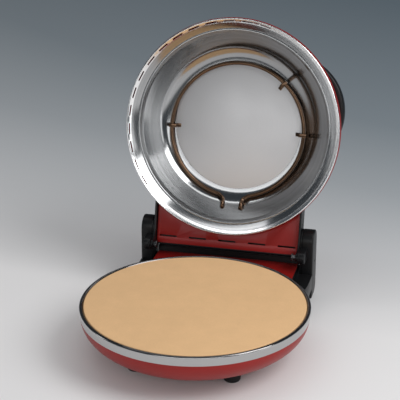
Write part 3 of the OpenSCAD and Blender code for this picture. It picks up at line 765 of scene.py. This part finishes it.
def base_shell():
    """The red bowl, the chrome band, the bottom plate and the feet."""
    curve = arc((BOWL_FLOOR_R, BAND_FOOT), (BOWL_TOP_R - BOWL_FLOOR_R, BAND_FOOT - BOWL_FLOOR_Z), -90, 0, 56)
    ledge = [(RIM_IN_R - GAP, BAND_FOOT), (RIM_IN_R - GAP, LEDGE_Z), (LEDGE_IN_R, LEDGE_Z)]
    bowl = sheet_outline([(SERVICE_R, BOWL_FLOOR_Z)] + curve + ledge, STEEL)
    link("bowl", lathe("bowl", bowl, segments=180), use(red_paint), ("base_bowl",), sharp=50)

    band = [(BAND_FOOT_R, BAND_FOOT), (RIM_R, ROLL_Z - 0.6 * MM), (RIM_R, ROLL_Z - 0.1 * MM)]
    roll = arc((RIM_R - ROLL_R, ROLL_Z), (ROLL_R, ROLL_R), 18, 180, 18)
    rim = sheet_outline(band + roll + [(RIM_IN_R, BAND_FOOT)], BAND_SHEET)
    finishes = [use(chrome), use(rolled_chrome_painted_dark)]
    piece = link("rim", lathe("rim", rim, segments=200), finishes, ("base_rim",), sharp=50)
    # The rolled edge and the wall inside it get a darker chrome, a painted reflection of the dark room around.
    for face in piece.data.polygons:
        turned_in = face.center.xy.length < RIM_R - 0.7 * MM
        face.material_index = int(turned_in and face.center.z > BAND_FOOT + BAND_SHEET)

    recast_each((("bottom_plate", black_plastic, 0.3 * MM), ("bottom_screws", bright_steel, 0.3 * MM),
                 ("front_feet", rubber, 0.8 * MM), ("rear_feet", rubber, 0.6 * MM)))


def stone():
    """The pizza stone."""
    edge = chosen("stone").edge
    r, low, high = STONE_HIGH.x, STONE_LOW.z, STONE_HIGH.z
    outline = rounded([(0, low), (r, low), (r, high), (0, high)], edge / EASED_SHARE, 6)
    mesh = lathe("stone", outline, segments=180, closed=False)
    link("stone", mesh, use(stone_finish), ("pizza_stone",), sharp=60)


def base_heating():
    """The pan, the element and the insulation under the stone."""
    low, high = rest_box("heater_pan")
    lip = high.z - PAN_SHEET
    path = rounded([(0, low.z), (PAN_FLOOR_R, low.z), (PAN_WALL_R, high.z - 5 * MM), (PAN_LIP_R, lip),
                    (high.x, lip)], PAN_BEND_R, 6)
    link("pan", lathe("pan", sheet_outline(path, PAN_SHEET)), use(pan_steel), ("heater_pan",), sharp=60)
    recast("lower_element", use(element_metal), sharp=60)
    recast_each((("lower_element_clips", bright_steel, 0.15 * MM), ("lower_bushes", ceramic, 0.3 * MM),
                 ("lower_insulation", fibre, 1 * MM)))


def rear():
    """The red shelf, the black rear moulding and its fittings."""
    edge = chosen("plastic").edge
    recast_each((("rear_moulding", black_plastic, edge), ("rear_cover", black_plastic, edge / 2),
                 ("rear_bottom_plate", black_plastic, 0.3 * MM), ("hinge_shelf", red_paint, 0.3 * MM),
                 ("rear_seal", rubber, 0.3 * MM), ("lid_stops", rubber, 0.8 * MM),
                 ("terminal_block", ceramic, 0.4 * MM), ("power_inlet", black_plastic, 0.5 * MM)))


# ---------------------------------------------------------------- hinge housings

HOUSING_FRONT = HINGE.y + 17.5 * MM
HEEL_R = 16 * MM
LOBE_R = 10 * MM
LOBE_LAP = 3 * MM
LOBE_DEPTH = 9 * MM
SCREW_HOLE = (HINGE.y + 37.5 * MM, RIM_TOP - 20 * MM)
SCREW_HOLE_R = 2 * MM
SCREW_HOLE_DEPTH = 1.6 * MM


def housing_outline(back, low, high):
    """Side view of a housing, as y and z: a round top, a square front foot and a round back foot."""
    half = (back - HOUSING_FRONT) / 2
    top = arc(((HOUSING_FRONT + back) / 2, high - half), (half, half), 0, 180, 24)
    heel = arc((back - HEEL_R, low + HEEL_R), (HEEL_R, HEEL_R), -90, 0, 12)
    return top + [(HOUSING_FRONT, low)] + heel


def lobe_outline():
    """Side view of the round lobe that carries a housing's hinge pin."""
    inside = HOUSING_FRONT + LOBE_LAP
    return arc((HINGE.y, HINGE.z), (LOBE_R, LOBE_R), 90, 270, 24) + [
        (inside, HINGE.z - LOBE_R), (inside, HINGE.z + LOBE_R)]


def housings():
    """The two hinge housings with their inner covers and pins."""
    edge = chosen("plastic").edge
    for side, turn in (("left", MIRROR_X), ("right", Matrix())):
        name = "housing_" + side
        low, high = rest_box("hinge_" + name)
        inner, outer = sorted((abs(low.x), abs(high.x)))
        bm = bmesh.new()
        add_slab(bm, housing_outline(high.y, low.z, high.z), outer - inner, upright(inner), edge * 1.3, 4)
        circle = arc(SCREW_HOLE, (SCREW_HOLE_R, SCREW_HOLE_R), 0, 345, 23)
        hole = slab("hole", circle, 4 * MM, upright(outer - SCREW_HOLE_DEPTH))
        mesh = carved(to_mesh(bm, name), [hole])
        bm = bmesh.new()
        bm.from_mesh(mesh)
        bpy.data.meshes.remove(mesh)
        add_slab(bm, lobe_outline(), LOBE_DEPTH, upright(inner), 0.8 * MM)
        mesh = to_mesh(bm, name, turn, recalc=False, merge=1e-7)
        # The mirrored mesh comes out inside out.
        if side == "left":
            mesh.flip_normals()
        link(name, mesh, use(black_plastic), ("hinge_" + name,))
        recast("hinge_cover_" + side, use(black_plastic), 0.35 * MM)
    recast("hinge_pins", use(dark_steel), 0.4 * MM)


# ---------------------------------------------------------------- lid

DOME_TOP = lid_box("lid_dome")[1].z
CROWN_R = 88 * MM
CROWN_STEPS = 12
SHOULDER_FROM, SHOULDER_TO = 4.6, 84
SHOULDER_RX = RIM_R + 1.3 * MM - CROWN_R
SHOULDER_RZ = DOME_TOP - 6 * MM
VENT_IN_R = RIM_R - 7.1 * MM
VENT_Z = 5.4 * MM
SLOT_HALF = 9.2 * MM
SLOT_END_R = 1.3 * MM
SLOT_R = (RIM_R - 1.2 * MM + VENT_IN_R) / 2 - 0.5 * MM
SLOT_Z = 2.9 * MM
SLOT_TILT = math.radians(45)
SLOT_DEPTH = 8 * MM
FLANGE_R = RIM_R - 16.4 * MM
FLANGE_Z = 14.2 * MM
LID_SHEET = 1 * MM
REFLECTOR_SHEET = 0.8 * MM
DISC_Z = lid_box("reflector_floor")[0].z
SEAT_R = 106 * MM
OPENING_R = SEAT_R - 1 * MM
WALL_SLOPE = math.radians(50)
RING_R = 109.8 * MM
RING_OFFSET = 8 * MM
RING_Z = 49.5 * MM
RING_HALF_GAP = 25 * MM
LEAD_X = 15.5 * MM
LEAD_RUN = 14 * MM
LEAD_THROUGH = 15 * MM
LEAD_BEND = 5 * MM


def dome_path():
    """Outside of the dome as radius and height above the lid rim, from its foot to the crown."""
    shoulder = arc((CROWN_R, 0), (SHOULDER_RX, SHOULDER_RZ), SHOULDER_FROM, SHOULDER_TO, 64)
    edge_r, edge_z = shoulder[-1]
    left = [1 - step / CROWN_STEPS for step in range(1, CROWN_STEPS + 1)]
    return shoulder + [(edge_r * t, DOME_TOP - (DOME_TOP - edge_z) * t ** 2) for t in left]


def dome_cutter():
    """A solid that fills the dome, to cut what stands on it."""
    path = dome_path()
    foot_r, foot_z = path[0]
    below = foot_z - 20 * MM
    return lathe("dome_cutter", [(0, below), (foot_r, below)] + path, ON_LID, closed=False)


def slot_cutter():
    """The vent slots as solids that pass through the rim at a slant."""
    shape = chosen("shape")
    end, cap = SLOT_HALF - SLOT_END_R, (SLOT_END_R, SLOT_END_R)
    stadium = arc((0, end), cap, 0, 180, 8) + arc((0, -end), cap, 180, 360, 8)
    cutter = bmesh.new()
    for i in range(shape.vent_count):
        turn = Matrix.Rotation(shape.vent_first + i * shape.vent_pitch, 4, "Z")
        slant = Matrix.Translation((SLOT_R, 0, SLOT_Z)) @ Matrix.Rotation(SLOT_TILT, 4, "Y")
        add_slab(cutter, stadium, SLOT_DEPTH, turn @ slant @ Matrix.Translation((0, 0, -SLOT_DEPTH / 2)))
    return to_mesh(cutter, "slots")


def lid_shell():
    """The red dome, the slotted chrome rim and the liner behind its slots."""
    path = dome_path()
    dome = sheet_outline(path[:-1] + [(GAP, DOME_TOP)], STEEL)
    link("dome", lathe("dome", dome, ON_LID, 180), use(lid_paint), ("lid_dome",), sharp=50)

    foot_r, foot_z = path[0]
    foot_r -= 0.1 * MM
    rim = [(foot_r, foot_z - 0.15 * MM), (foot_r, foot_z - 2.5 * MM), (RIM_R, 1.6 * MM),
           (RIM_R - 0.5 * MM, 0.5 * MM), (RIM_R - 1.6 * MM, 0), (RIM_R - 2.4 * MM, 0.5 * MM)]
    outline = sheet_outline(rounded(rim, 0.8 * MM, 3) + [(VENT_IN_R, VENT_Z)], -LID_SHEET)
    mesh = carved(lathe("lid_rim", outline, segments=240), [slot_cutter()])
    mesh.transform(ON_LID)
    piece = link("lid_rim_slotted", mesh, [use(vented_chrome), use(lid_paint)], ("lid_rim",))
    # The rim's outer wall is painted like the dome above it.
    for face in piece.data.polygons:
        spot = OFF_LID @ face.center
        face.material_index = int(spot.xy.length > RIM_R - 0.7 * MM and spot.z > 1.9 * MM)

    liner = [(foot_r - 1.7 * MM, foot_z + 2 * MM), (VENT_IN_R + 1 * MM, foot_z + 6 * MM),
             (FLANGE_R + 5 * MM, FLANGE_Z + 1 * MM), (FLANGE_R + 1.6 * MM, FLANGE_Z + 1 * MM)]
    link("liner", lathe("liner", sheet_outline(liner, -LID_SHEET), ON_LID), use(lid_paint), ("vent_liner",))
    recast("lid_insulation", use(fibre), 1 * MM)


def reflector_parts():
    """The spun reflector in the lid and its flat floor."""
    groove_z = FLANGE_Z - 1.2 * MM
    bead = rounded([(VENT_IN_R, VENT_Z), (FLANGE_R, FLANGE_Z), (FLANGE_R - 0.8 * MM, groove_z),
                    (FLANGE_R - 2.6 * MM, groove_z), (FLANGE_R - 3.6 * MM, FLANGE_Z)], 0.9 * MM, 4)
    top = Vector((FLANGE_R - 5.2 * MM, FLANGE_Z + 3 * MM))
    run, drop = top.x - SEAT_R, DISC_Z - top.y
    bend_r = (run * math.sin(WALL_SLOPE) - drop * math.cos(WALL_SLOPE)) / (1 - math.cos(WALL_SLOPE))
    bend = arc((SEAT_R, DISC_Z - bend_r), (bend_r, bend_r), 90 - math.degrees(WALL_SLOPE), 84, 32)
    wall = [tuple(top.lerp(Vector(bend[0]), i / 8)) for i in range(8)]
    path = bead + wall + bend + [(OPENING_R, DISC_Z)]
    bowl = lathe("reflector_bowl", sheet_outline(path, -REFLECTOR_SHEET), ON_LID, 200)
    link("reflector_bowl", bowl, use(reflector), ("lid_reflector",), sharp=60)

    r, high = OPENING_R - GAP, lid_box("reflector_floor")[1].z
    outline = rounded([(0, DISC_Z), (r, DISC_Z), (r, high), (0, high)], 0.3 * MM, 2)
    disc = lathe("reflector_disc", outline, ON_LID, closed=False)
    link("reflector_disc", disc, use(reflector_disc), ("reflector_floor",))


def upper_heat():
    """The upper element with its clips and collars."""
    turn = math.degrees(math.asin(RING_HALF_GAP / RING_R))
    circle = arc((0, RING_OFFSET), (RING_R, RING_R), 90 + turn, 450 - turn, 120)
    ring = [(x, y, RING_Z) for x, y in circle]
    cosine, sine = math.cos(WALL_SLOPE), math.sin(WALL_SLOPE)
    foot = Vector((LEAD_X, RING_R + RING_OFFSET + 3.7 * MM, RING_Z - 3 * MM))
    knee = foot + LEAD_RUN * Vector((0, cosine, -sine))
    head = knee + LEAD_THROUGH * Vector((0, sine, cosine))
    right = rounded([ring[-1], foot, knee, head], LEAD_BEND, 6)[1:]
    left = [(-x, y, z) for x, y, z in reversed(right)]
    radius = chosen("shape").element_radius
    element = tube_mesh("element", left + ring + right, radius, ON_LID, 20)
    link("element", element, use(element_metal), ("upper_element",), sharp=60)
    recast_each((("upper_element_clips", element_metal, 0.2 * MM), ("upper_bushes", element_metal, 0.3 * MM)))


def hinge_metal():
    """The slotted hinge plate, its back cover, the brackets and their screws."""
    edge = chosen("plastic").edge
    recast_each((("hinge_plate", lid_paint, 0.25 * MM), ("hinge_back_cover", black_plastic, edge),
                 ("hinge_bracket_left", black_plastic, 0.4 * MM),
                 ("hinge_bracket_right", black_plastic, 0.4 * MM), ("bracket_screws", dark_steel, 0.4 * MM)))


# ---------------------------------------------------------------- controls and handle

POD_ANGLE = math.radians(-20)
POD_R = 90.5 * MM
POD_TOP_R = POD_R - 13.5 * MM
POD_AT = Matrix.Rotation(POD_ANGLE, 4, "Z") @ Matrix.Translation((90 * MM, 0, 0))
POD_LOW = 32 * MM
POD_SHOULDER = 50 * MM
POD_HIGH = lid_box("control_pod")[1].z
LAMP_LOW = lid_box("pilot_lamp")[0].z - POD_HIGH
LAMP_R = 2.9 * MM
LAMP_HIGH = 0.6 * MM
KNOB_REACH = 146 * MM
KNOB_TURN = math.radians(9.5)
KNOB_R = 16 * MM
KNOB_LOW = 0.4 * MM
KNOB_TOP = 13.4 * MM
SKIRT = 3 * MM
BORE_R = 3.05 * MM
BORE_TOP = 8 * MM
GRIP_HALF = 2.5 * MM
GRIP_HEIGHT = 11.8 * MM
GRIP_LOW = KNOB_LOW + SKIRT + 0.1 * MM
SHAFT_HOLE_R = 3.6 * MM
MARK_COUNT = 13
MARK_FIRST, MARK_STEP = 30, 25
MARK_R = 17.4 * MM
LONG_MARK, SHORT_MARK = 2.6 * MM, 1.5 * MM
MARK_HALF = 0.25 * MM
MARK_SHEET = 0.08 * MM
HANDLE_R = 8 * MM
HANDLE_REACH = 153 * MM
HANDLE_RISE = 112 * MM
HANDLE_FOOT = 54 * MM
HANDLE_HALF = math.radians(20)
HANDLE_BEND = 13 * MM
SIDES = (("thermostat", -1), ("timer", 1))


def on_pod(turn, reach):
    """A place on the pod's top, at a turn about the lid's axis and a reach from it."""
    return ON_LID @ Matrix.Rotation(POD_ANGLE + turn, 4, "Z") @ Matrix.Translation((reach, 0, POD_HIGH))


def at_knob(side):
    return on_pod(side * KNOB_TURN, KNOB_REACH)


def controls():
    """The black pod on the dome with its knobs and lamp."""
    corners = [(0, POD_LOW), (POD_R, POD_LOW), (POD_R, POD_SHOULDER), (POD_TOP_R, POD_HIGH), (0, POD_HIGH)]
    solid = lathe("pod", rounded(corners, 5 * MM, 8), ON_LID @ POD_AT, 144, closed=False)
    shaft_hole = [(0, -8 * MM), (SHAFT_HOLE_R, -8 * MM), (SHAFT_HOLE_R, 2 * MM), (0, 2 * MM)]
    holes = [lathe("hole", shaft_hole, at_knob(side), 32, closed=False) for _, side in SIDES]
    link("pod", carved(solid, [dome_cutter()] + holes), use(black_plastic), ("control_pod",), sharp=40)

    for name, side in SIDES:
        add_knob(name, side)
    add_marks()
    lens = rounded([(0, LAMP_LOW), (LAMP_R, LAMP_LOW), (LAMP_R, LAMP_HIGH), (0, LAMP_HIGH)], 0.8 * MM, 5)
    lamp = lathe("lamp", lens, on_pod(0, KNOB_REACH + 12 * MM), 48, closed=False)
    link("lamp", lamp, use(lamp_lens), ("pilot_lamp",))
    for name, _ in SIDES:
        recast(name, use(ceramic), 0.3 * MM)


def add_marks():
    """White ticks round both knobs, every third one long."""
    marks = bmesh.new()
    for _, side in SIDES:
        for i in range(MARK_COUNT):
            turn = Matrix.Rotation(math.radians(MARK_FIRST + MARK_STEP * i), 4, "Z")
            spot = at_knob(side) @ turn @ Matrix.Translation((MARK_R, 0, 0.05 * MM))
            length = LONG_MARK if i % 3 == 0 else SHORT_MARK
            add_slab(marks, rectangle(0, length, -MARK_HALF, MARK_HALF), MARK_SHEET, spot)
    link("dial_marks", to_mesh(marks, "dial_marks"), use(printed_white),
         body=BODY_OF["control_pod"])


def add_knob(name, side):
    """A round skirt with a grip bar, bored for its shaft, and a white pointer."""
    skirt_top = KNOB_LOW + SKIRT
    grip_end = KNOB_R - 3 * MM
    corners = [(BORE_R, KNOB_LOW), (KNOB_R, KNOB_LOW), (KNOB_R, skirt_top), (KNOB_R - 2 * MM, skirt_top),
               (grip_end, KNOB_TOP), (0, KNOB_TOP), (0, BORE_TOP), (BORE_R, BORE_TOP)]
    outline = rounded(corners, 0.7 * MM, 4, closed=True)
    bm = bmesh.new()
    add_lathe(bm, [(max(x, 0.0), z) for x, z in outline], segments=96)
    grip = rectangle(-grip_end, grip_end, -GRIP_HALF, GRIP_HALF, 2 * MM)
    add_slab(bm, grip, GRIP_HEIGHT, Matrix.Translation((0, 0, GRIP_LOW)), 0.8 * MM)
    dial = to_mesh(bm, name + "_dial", at_knob(side), recalc=False, merge=1e-8)
    link(name + "_dial", dial, use(black_gloss), (name + "_knob",))

    bm = bmesh.new()
    line = rectangle(5 * MM, KNOB_R - 4.2 * MM, -0.5 * MM, 0.5 * MM)
    add_slab(bm, line, 0.1 * MM, Matrix.Translation((0, 0, GRIP_LOW + GRIP_HEIGHT)))
    pointer = to_mesh(bm, name + "_pointer", at_knob(side))
    link(name + "_pointer", pointer, use(printed_white),
         body=BODY_OF[name + "_knob"])


def handle():
    """The curved bar handle at the lid's front."""
    def spot(turn, height):
        return (HANDLE_REACH * math.sin(turn), -HANDLE_REACH * math.cos(turn), height)

    bar = [spot(HANDLE_HALF * (i / 20 - 1), HANDLE_RISE) for i in range(41)]
    first, last = (spot(side * HANDLE_HALF, HANDLE_FOOT) for side in (-1, 1))
    path = rounded([first, bar[0]] + bar[6:35] + [bar[-1], last], HANDLE_BEND, 8)
    mesh = carved(tube_mesh("handle", path, HANDLE_R, ON_LID, 32), [dome_cutter()])
    link("handle", mesh, use(black_plastic), ("front_handle",), sharp=40)


# ---------------------------------------------------------------- stage

CAMERA_BACK = Vector((0.2090, -0.8740, 0.4387))
CAMERA_AT = Vector((0.4956, -2.0726, 1.1223))
CAMERA_TILT = math.radians(3.75)
CAMERA_PAN = math.radians(0.18)
FLOOR_FADE = 2.4
# How far the floor turns from its near colour to its far colour: a painted pool of light that fades with distance.
FLOOR_PAINTED_LIGHT = ((0.0, 0.0), (0.15, 0.02), (0.45, 0.34), (0.8, 0.66), (1.2, 0.87), (2.2, 1.0))
FLOOR_SHEET = 20 * MM
SKY_TINT = (0.97, 0.985, 1.0, 1.0)


def add_camera(lens):
    """A camera at its place, tilted and panned a little from the line to the object."""
    camera = add_object("camera", bpy.data.cameras.new("camera"))
    camera.data.lens = lens
    camera.data.clip_end = 40
    right = Vector((-CAMERA_BACK.y, CAMERA_BACK.x, 0)).normalized()
    up = CAMERA_BACK.cross(right)
    tilted = CAMERA_BACK * math.cos(CAMERA_TILT) - up * math.sin(CAMERA_TILT)
    top = up * math.cos(CAMERA_TILT) + CAMERA_BACK * math.sin(CAMERA_TILT)
    back = tilted * math.cos(CAMERA_PAN) - right * math.sin(CAMERA_PAN)
    side = right * math.cos(CAMERA_PAN) + tilted * math.sin(CAMERA_PAN)
    camera.matrix_world = Matrix.Translation(CAMERA_AT) @ Matrix((side, top, back)).transposed().to_4x4()
    bpy.context.scene.camera = camera


def add_light(name, watts, place, target, width, height):
    """A rectangular soft light at a place, turned to its target."""
    data = bpy.data.lights.new(name, "AREA")
    data.energy = watts
    data.shape = "RECTANGLE"
    data.size, data.size_y = width, height
    light = add_object(name, data)
    light.location = place
    light.rotation_euler = (Vector(target) - Vector(place)).to_track_quat("-Z", "Y").to_euler()


def add_room(look):
    """An even light from all round; the camera and mirrors see a dim blue-grey room instead."""
    world = bpy.data.worlds.new("room")
    world.use_nodes = True
    tree = world.node_tree
    tree.nodes.clear()
    output = tree.nodes.new("ShaderNodeOutputWorld")
    path = tree.nodes.new("ShaderNodeLightPath")

    def background(tint, strength):
        made = tree.nodes.new("ShaderNodeBackground")
        made.inputs[0].default_value = tint
        made.inputs[1].default_value = strength
        return made.outputs[0]

    last = background(SKY_TINT, look.sky)
    for ray, tint in (("Is Glossy Ray", look.mirrored), ("Is Camera Ray", look.floor_far)):
        mix = tree.nodes.new("ShaderNodeMixShader")
        tree.links.new(path.outputs[ray], mix.inputs[0])
        tree.links.new(last, mix.inputs[1])
        tree.links.new(background(tint, 1.0), mix.inputs[2])
        last = mix.outputs[0]
    tree.links.new(last, output.inputs[0])
    bpy.context.scene.world = world


def floor_finish():
    """Pale near the object, and darker and bluer with distance and towards the right: a painted pool of light
    round the object.
    """
    look = chosen("stage")
    floor = Finish("floor", roughness=0.85, specular_ior_level=0.15)
    x, y, _ = floor.parts(floor.place)
    painted_light_reach = y * (x * 0.3 + 1.03) + x * 0.1
    near, far = Vector(look.floor_near), Vector(look.floor_far)
    stops = [(at / FLOOR_FADE, tuple(near.lerp(far, part))) for at, part in FLOOR_PAINTED_LIGHT]
    floor.feed(base_color=floor.ramp(painted_light_reach / FLOOR_FADE, stops))
    return floor.done()


def stage():
    """The round floor, the room, the lights and the camera."""
    look = chosen("stage")
    radius = look.floor_radius
    mesh = slab("floor", arc((0, 0), (radius, radius), 0, 357, 119), -FLOOR_SHEET)
    shade(mesh, [floor_finish()], 35)
    add_object("floor", mesh)
    add_room(look)
    add_light("key", look.key, (1.7, -0.4, 1.9), (0, 0, 0.1), 1.5, 1.5)
    add_light("overhead", look.overhead, (-0.1, 0.26, 1.9), (-0.1, 0.27, 0), 2.2, 0.32)
    add_light("front", look.front, (0.3, -2.1, 0.98), (0, 0, 0.05), 2.6, 0.66)
    add_light("right_box", look.side, (1.9, -0.3, 0.5), (0, 0.2, 0.3), 0.35, 0.9)
    add_light("left_box", look.side * 0.8, (-1.8, -0.2, 0.6), (0, 0.2, 0.3), 0.3, 0.9)
    add_camera(look.lens)


# ---------------------------------------------------------------- operators and panel

class PIZZA_OT_base_shell(bpy.types.Operator):
    """Makes the red bowl, the chrome band, the bottom plate and the feet"""
    bl_idname = "pizza.base_shell"
    bl_label = "Base shell"

    def execute(self, context):
        base_shell()
        return {"FINISHED"}


class PIZZA_OT_stone(bpy.types.Operator):
    """Makes the pizza stone"""
    bl_idname = "pizza.stone"
    bl_label = "Pizza stone"

    def execute(self, context):
        stone()
        return {"FINISHED"}


class PIZZA_OT_base_heating(bpy.types.Operator):
    """Makes the pan, the element and the insulation under the stone"""
    bl_idname = "pizza.base_heating"
    bl_label = "Base heating"

    def execute(self, context):
        base_heating()
        return {"FINISHED"}


class PIZZA_OT_rear(bpy.types.Operator):
    """Makes the red shelf, the black rear moulding and its fittings"""
    bl_idname = "pizza.rear"
    bl_label = "Rear mouldings"

    def execute(self, context):
        rear()
        return {"FINISHED"}


class PIZZA_OT_housings(bpy.types.Operator):
    """Makes the two hinge housings with their inner covers and pins"""
    bl_idname = "pizza.housings"
    bl_label = "Hinge housings"

    def execute(self, context):
        housings()
        return {"FINISHED"}


class PIZZA_OT_lid_shell(bpy.types.Operator):
    """Makes the red dome, the slotted rim and the liner behind its slots"""
    bl_idname = "pizza.lid_shell"
    bl_label = "Lid shell"

    def execute(self, context):
        lid_shell()
        return {"FINISHED"}


class PIZZA_OT_reflector_parts(bpy.types.Operator):
    """Makes the spun reflector in the lid and its flat floor"""
    bl_idname = "pizza.reflector_parts"
    bl_label = "Reflector"

    def execute(self, context):
        reflector_parts()
        return {"FINISHED"}


class PIZZA_OT_upper_heat(bpy.types.Operator):
    """Makes the upper element with its clips and collars"""
    bl_idname = "pizza.upper_heat"
    bl_label = "Upper element"

    def execute(self, context):
        upper_heat()
        return {"FINISHED"}


class PIZZA_OT_hinge_metal(bpy.types.Operator):
    """Makes the slotted hinge plate, its back cover, the brackets and their screws"""
    bl_idname = "pizza.hinge_metal"
    bl_label = "Hinge plate"

    def execute(self, context):
        hinge_metal()
        return {"FINISHED"}


class PIZZA_OT_controls(bpy.types.Operator):
    """Makes the pod on the dome with its knobs and lamp"""
    bl_idname = "pizza.controls"
    bl_label = "Controls"

    def execute(self, context):
        controls()
        return {"FINISHED"}


class PIZZA_OT_handle(bpy.types.Operator):
    """Makes the curved bar handle at the lid's front"""
    bl_idname = "pizza.handle"
    bl_label = "Handle"

    def execute(self, context):
        handle()
        return {"FINISHED"}


class PIZZA_OT_stage(bpy.types.Operator):
    """Makes the floor, the light and the camera"""
    bl_idname = "pizza.stage"
    bl_label = "Stage"

    def execute(self, context):
        stage()
        return {"FINISHED"}


PIECE_OPERATORS = (
    PIZZA_OT_base_shell, PIZZA_OT_stone, PIZZA_OT_base_heating, PIZZA_OT_rear, PIZZA_OT_housings,
    PIZZA_OT_lid_shell, PIZZA_OT_reflector_parts, PIZZA_OT_upper_heat, PIZZA_OT_hinge_metal,
    PIZZA_OT_controls, PIZZA_OT_handle, PIZZA_OT_stage,
)
SETTINGS = (
    ("pizza_paint", PizzaPaint), ("pizza_metal", PizzaMetal), ("pizza_stone", PizzaStone),
    ("pizza_plastic", PizzaPlastic), ("pizza_shape", PizzaShape), ("pizza_stage", PizzaStage),
)


class PIZZA_PT_panel(bpy.types.Panel):
    """Lists the settings and the builders"""
    bl_idname = "PIZZA_PT_panel"
    bl_label = "Pizza maker"
    bl_space_type = "VIEW_3D"
    bl_region_type = "UI"
    bl_category = "Pizza maker"

    def draw(self, context):
        for key, group in SETTINGS:
            box = self.layout.box()
            for name in group.__annotations__:
                box.prop(getattr(context.scene, key), name)
        for item in PIECE_OPERATORS:
            self.layout.operator(item.bl_idname)


def register():
    for key, group in SETTINGS:
        bpy.utils.register_class(group)
        setattr(bpy.types.Scene, key, PointerProperty(type=group))
    for item in PIECE_OPERATORS + (PIZZA_PT_panel,):
        bpy.utils.register_class(item)


def unregister():
    for item in reversed(PIECE_OPERATORS + (PIZZA_PT_panel,)):
        bpy.utils.unregister_class(item)
    for key, group in reversed(SETTINGS):
        delattr(bpy.types.Scene, key)
        bpy.utils.unregister_class(group)


def main():
    register()
    bpy.context.scene.view_settings.view_transform = "Standard"
    for item in PIECE_OPERATORS:
        getattr(bpy.ops.pizza, item.bl_idname.split(".")[1])()


if __name__ == "__main__":
    main()
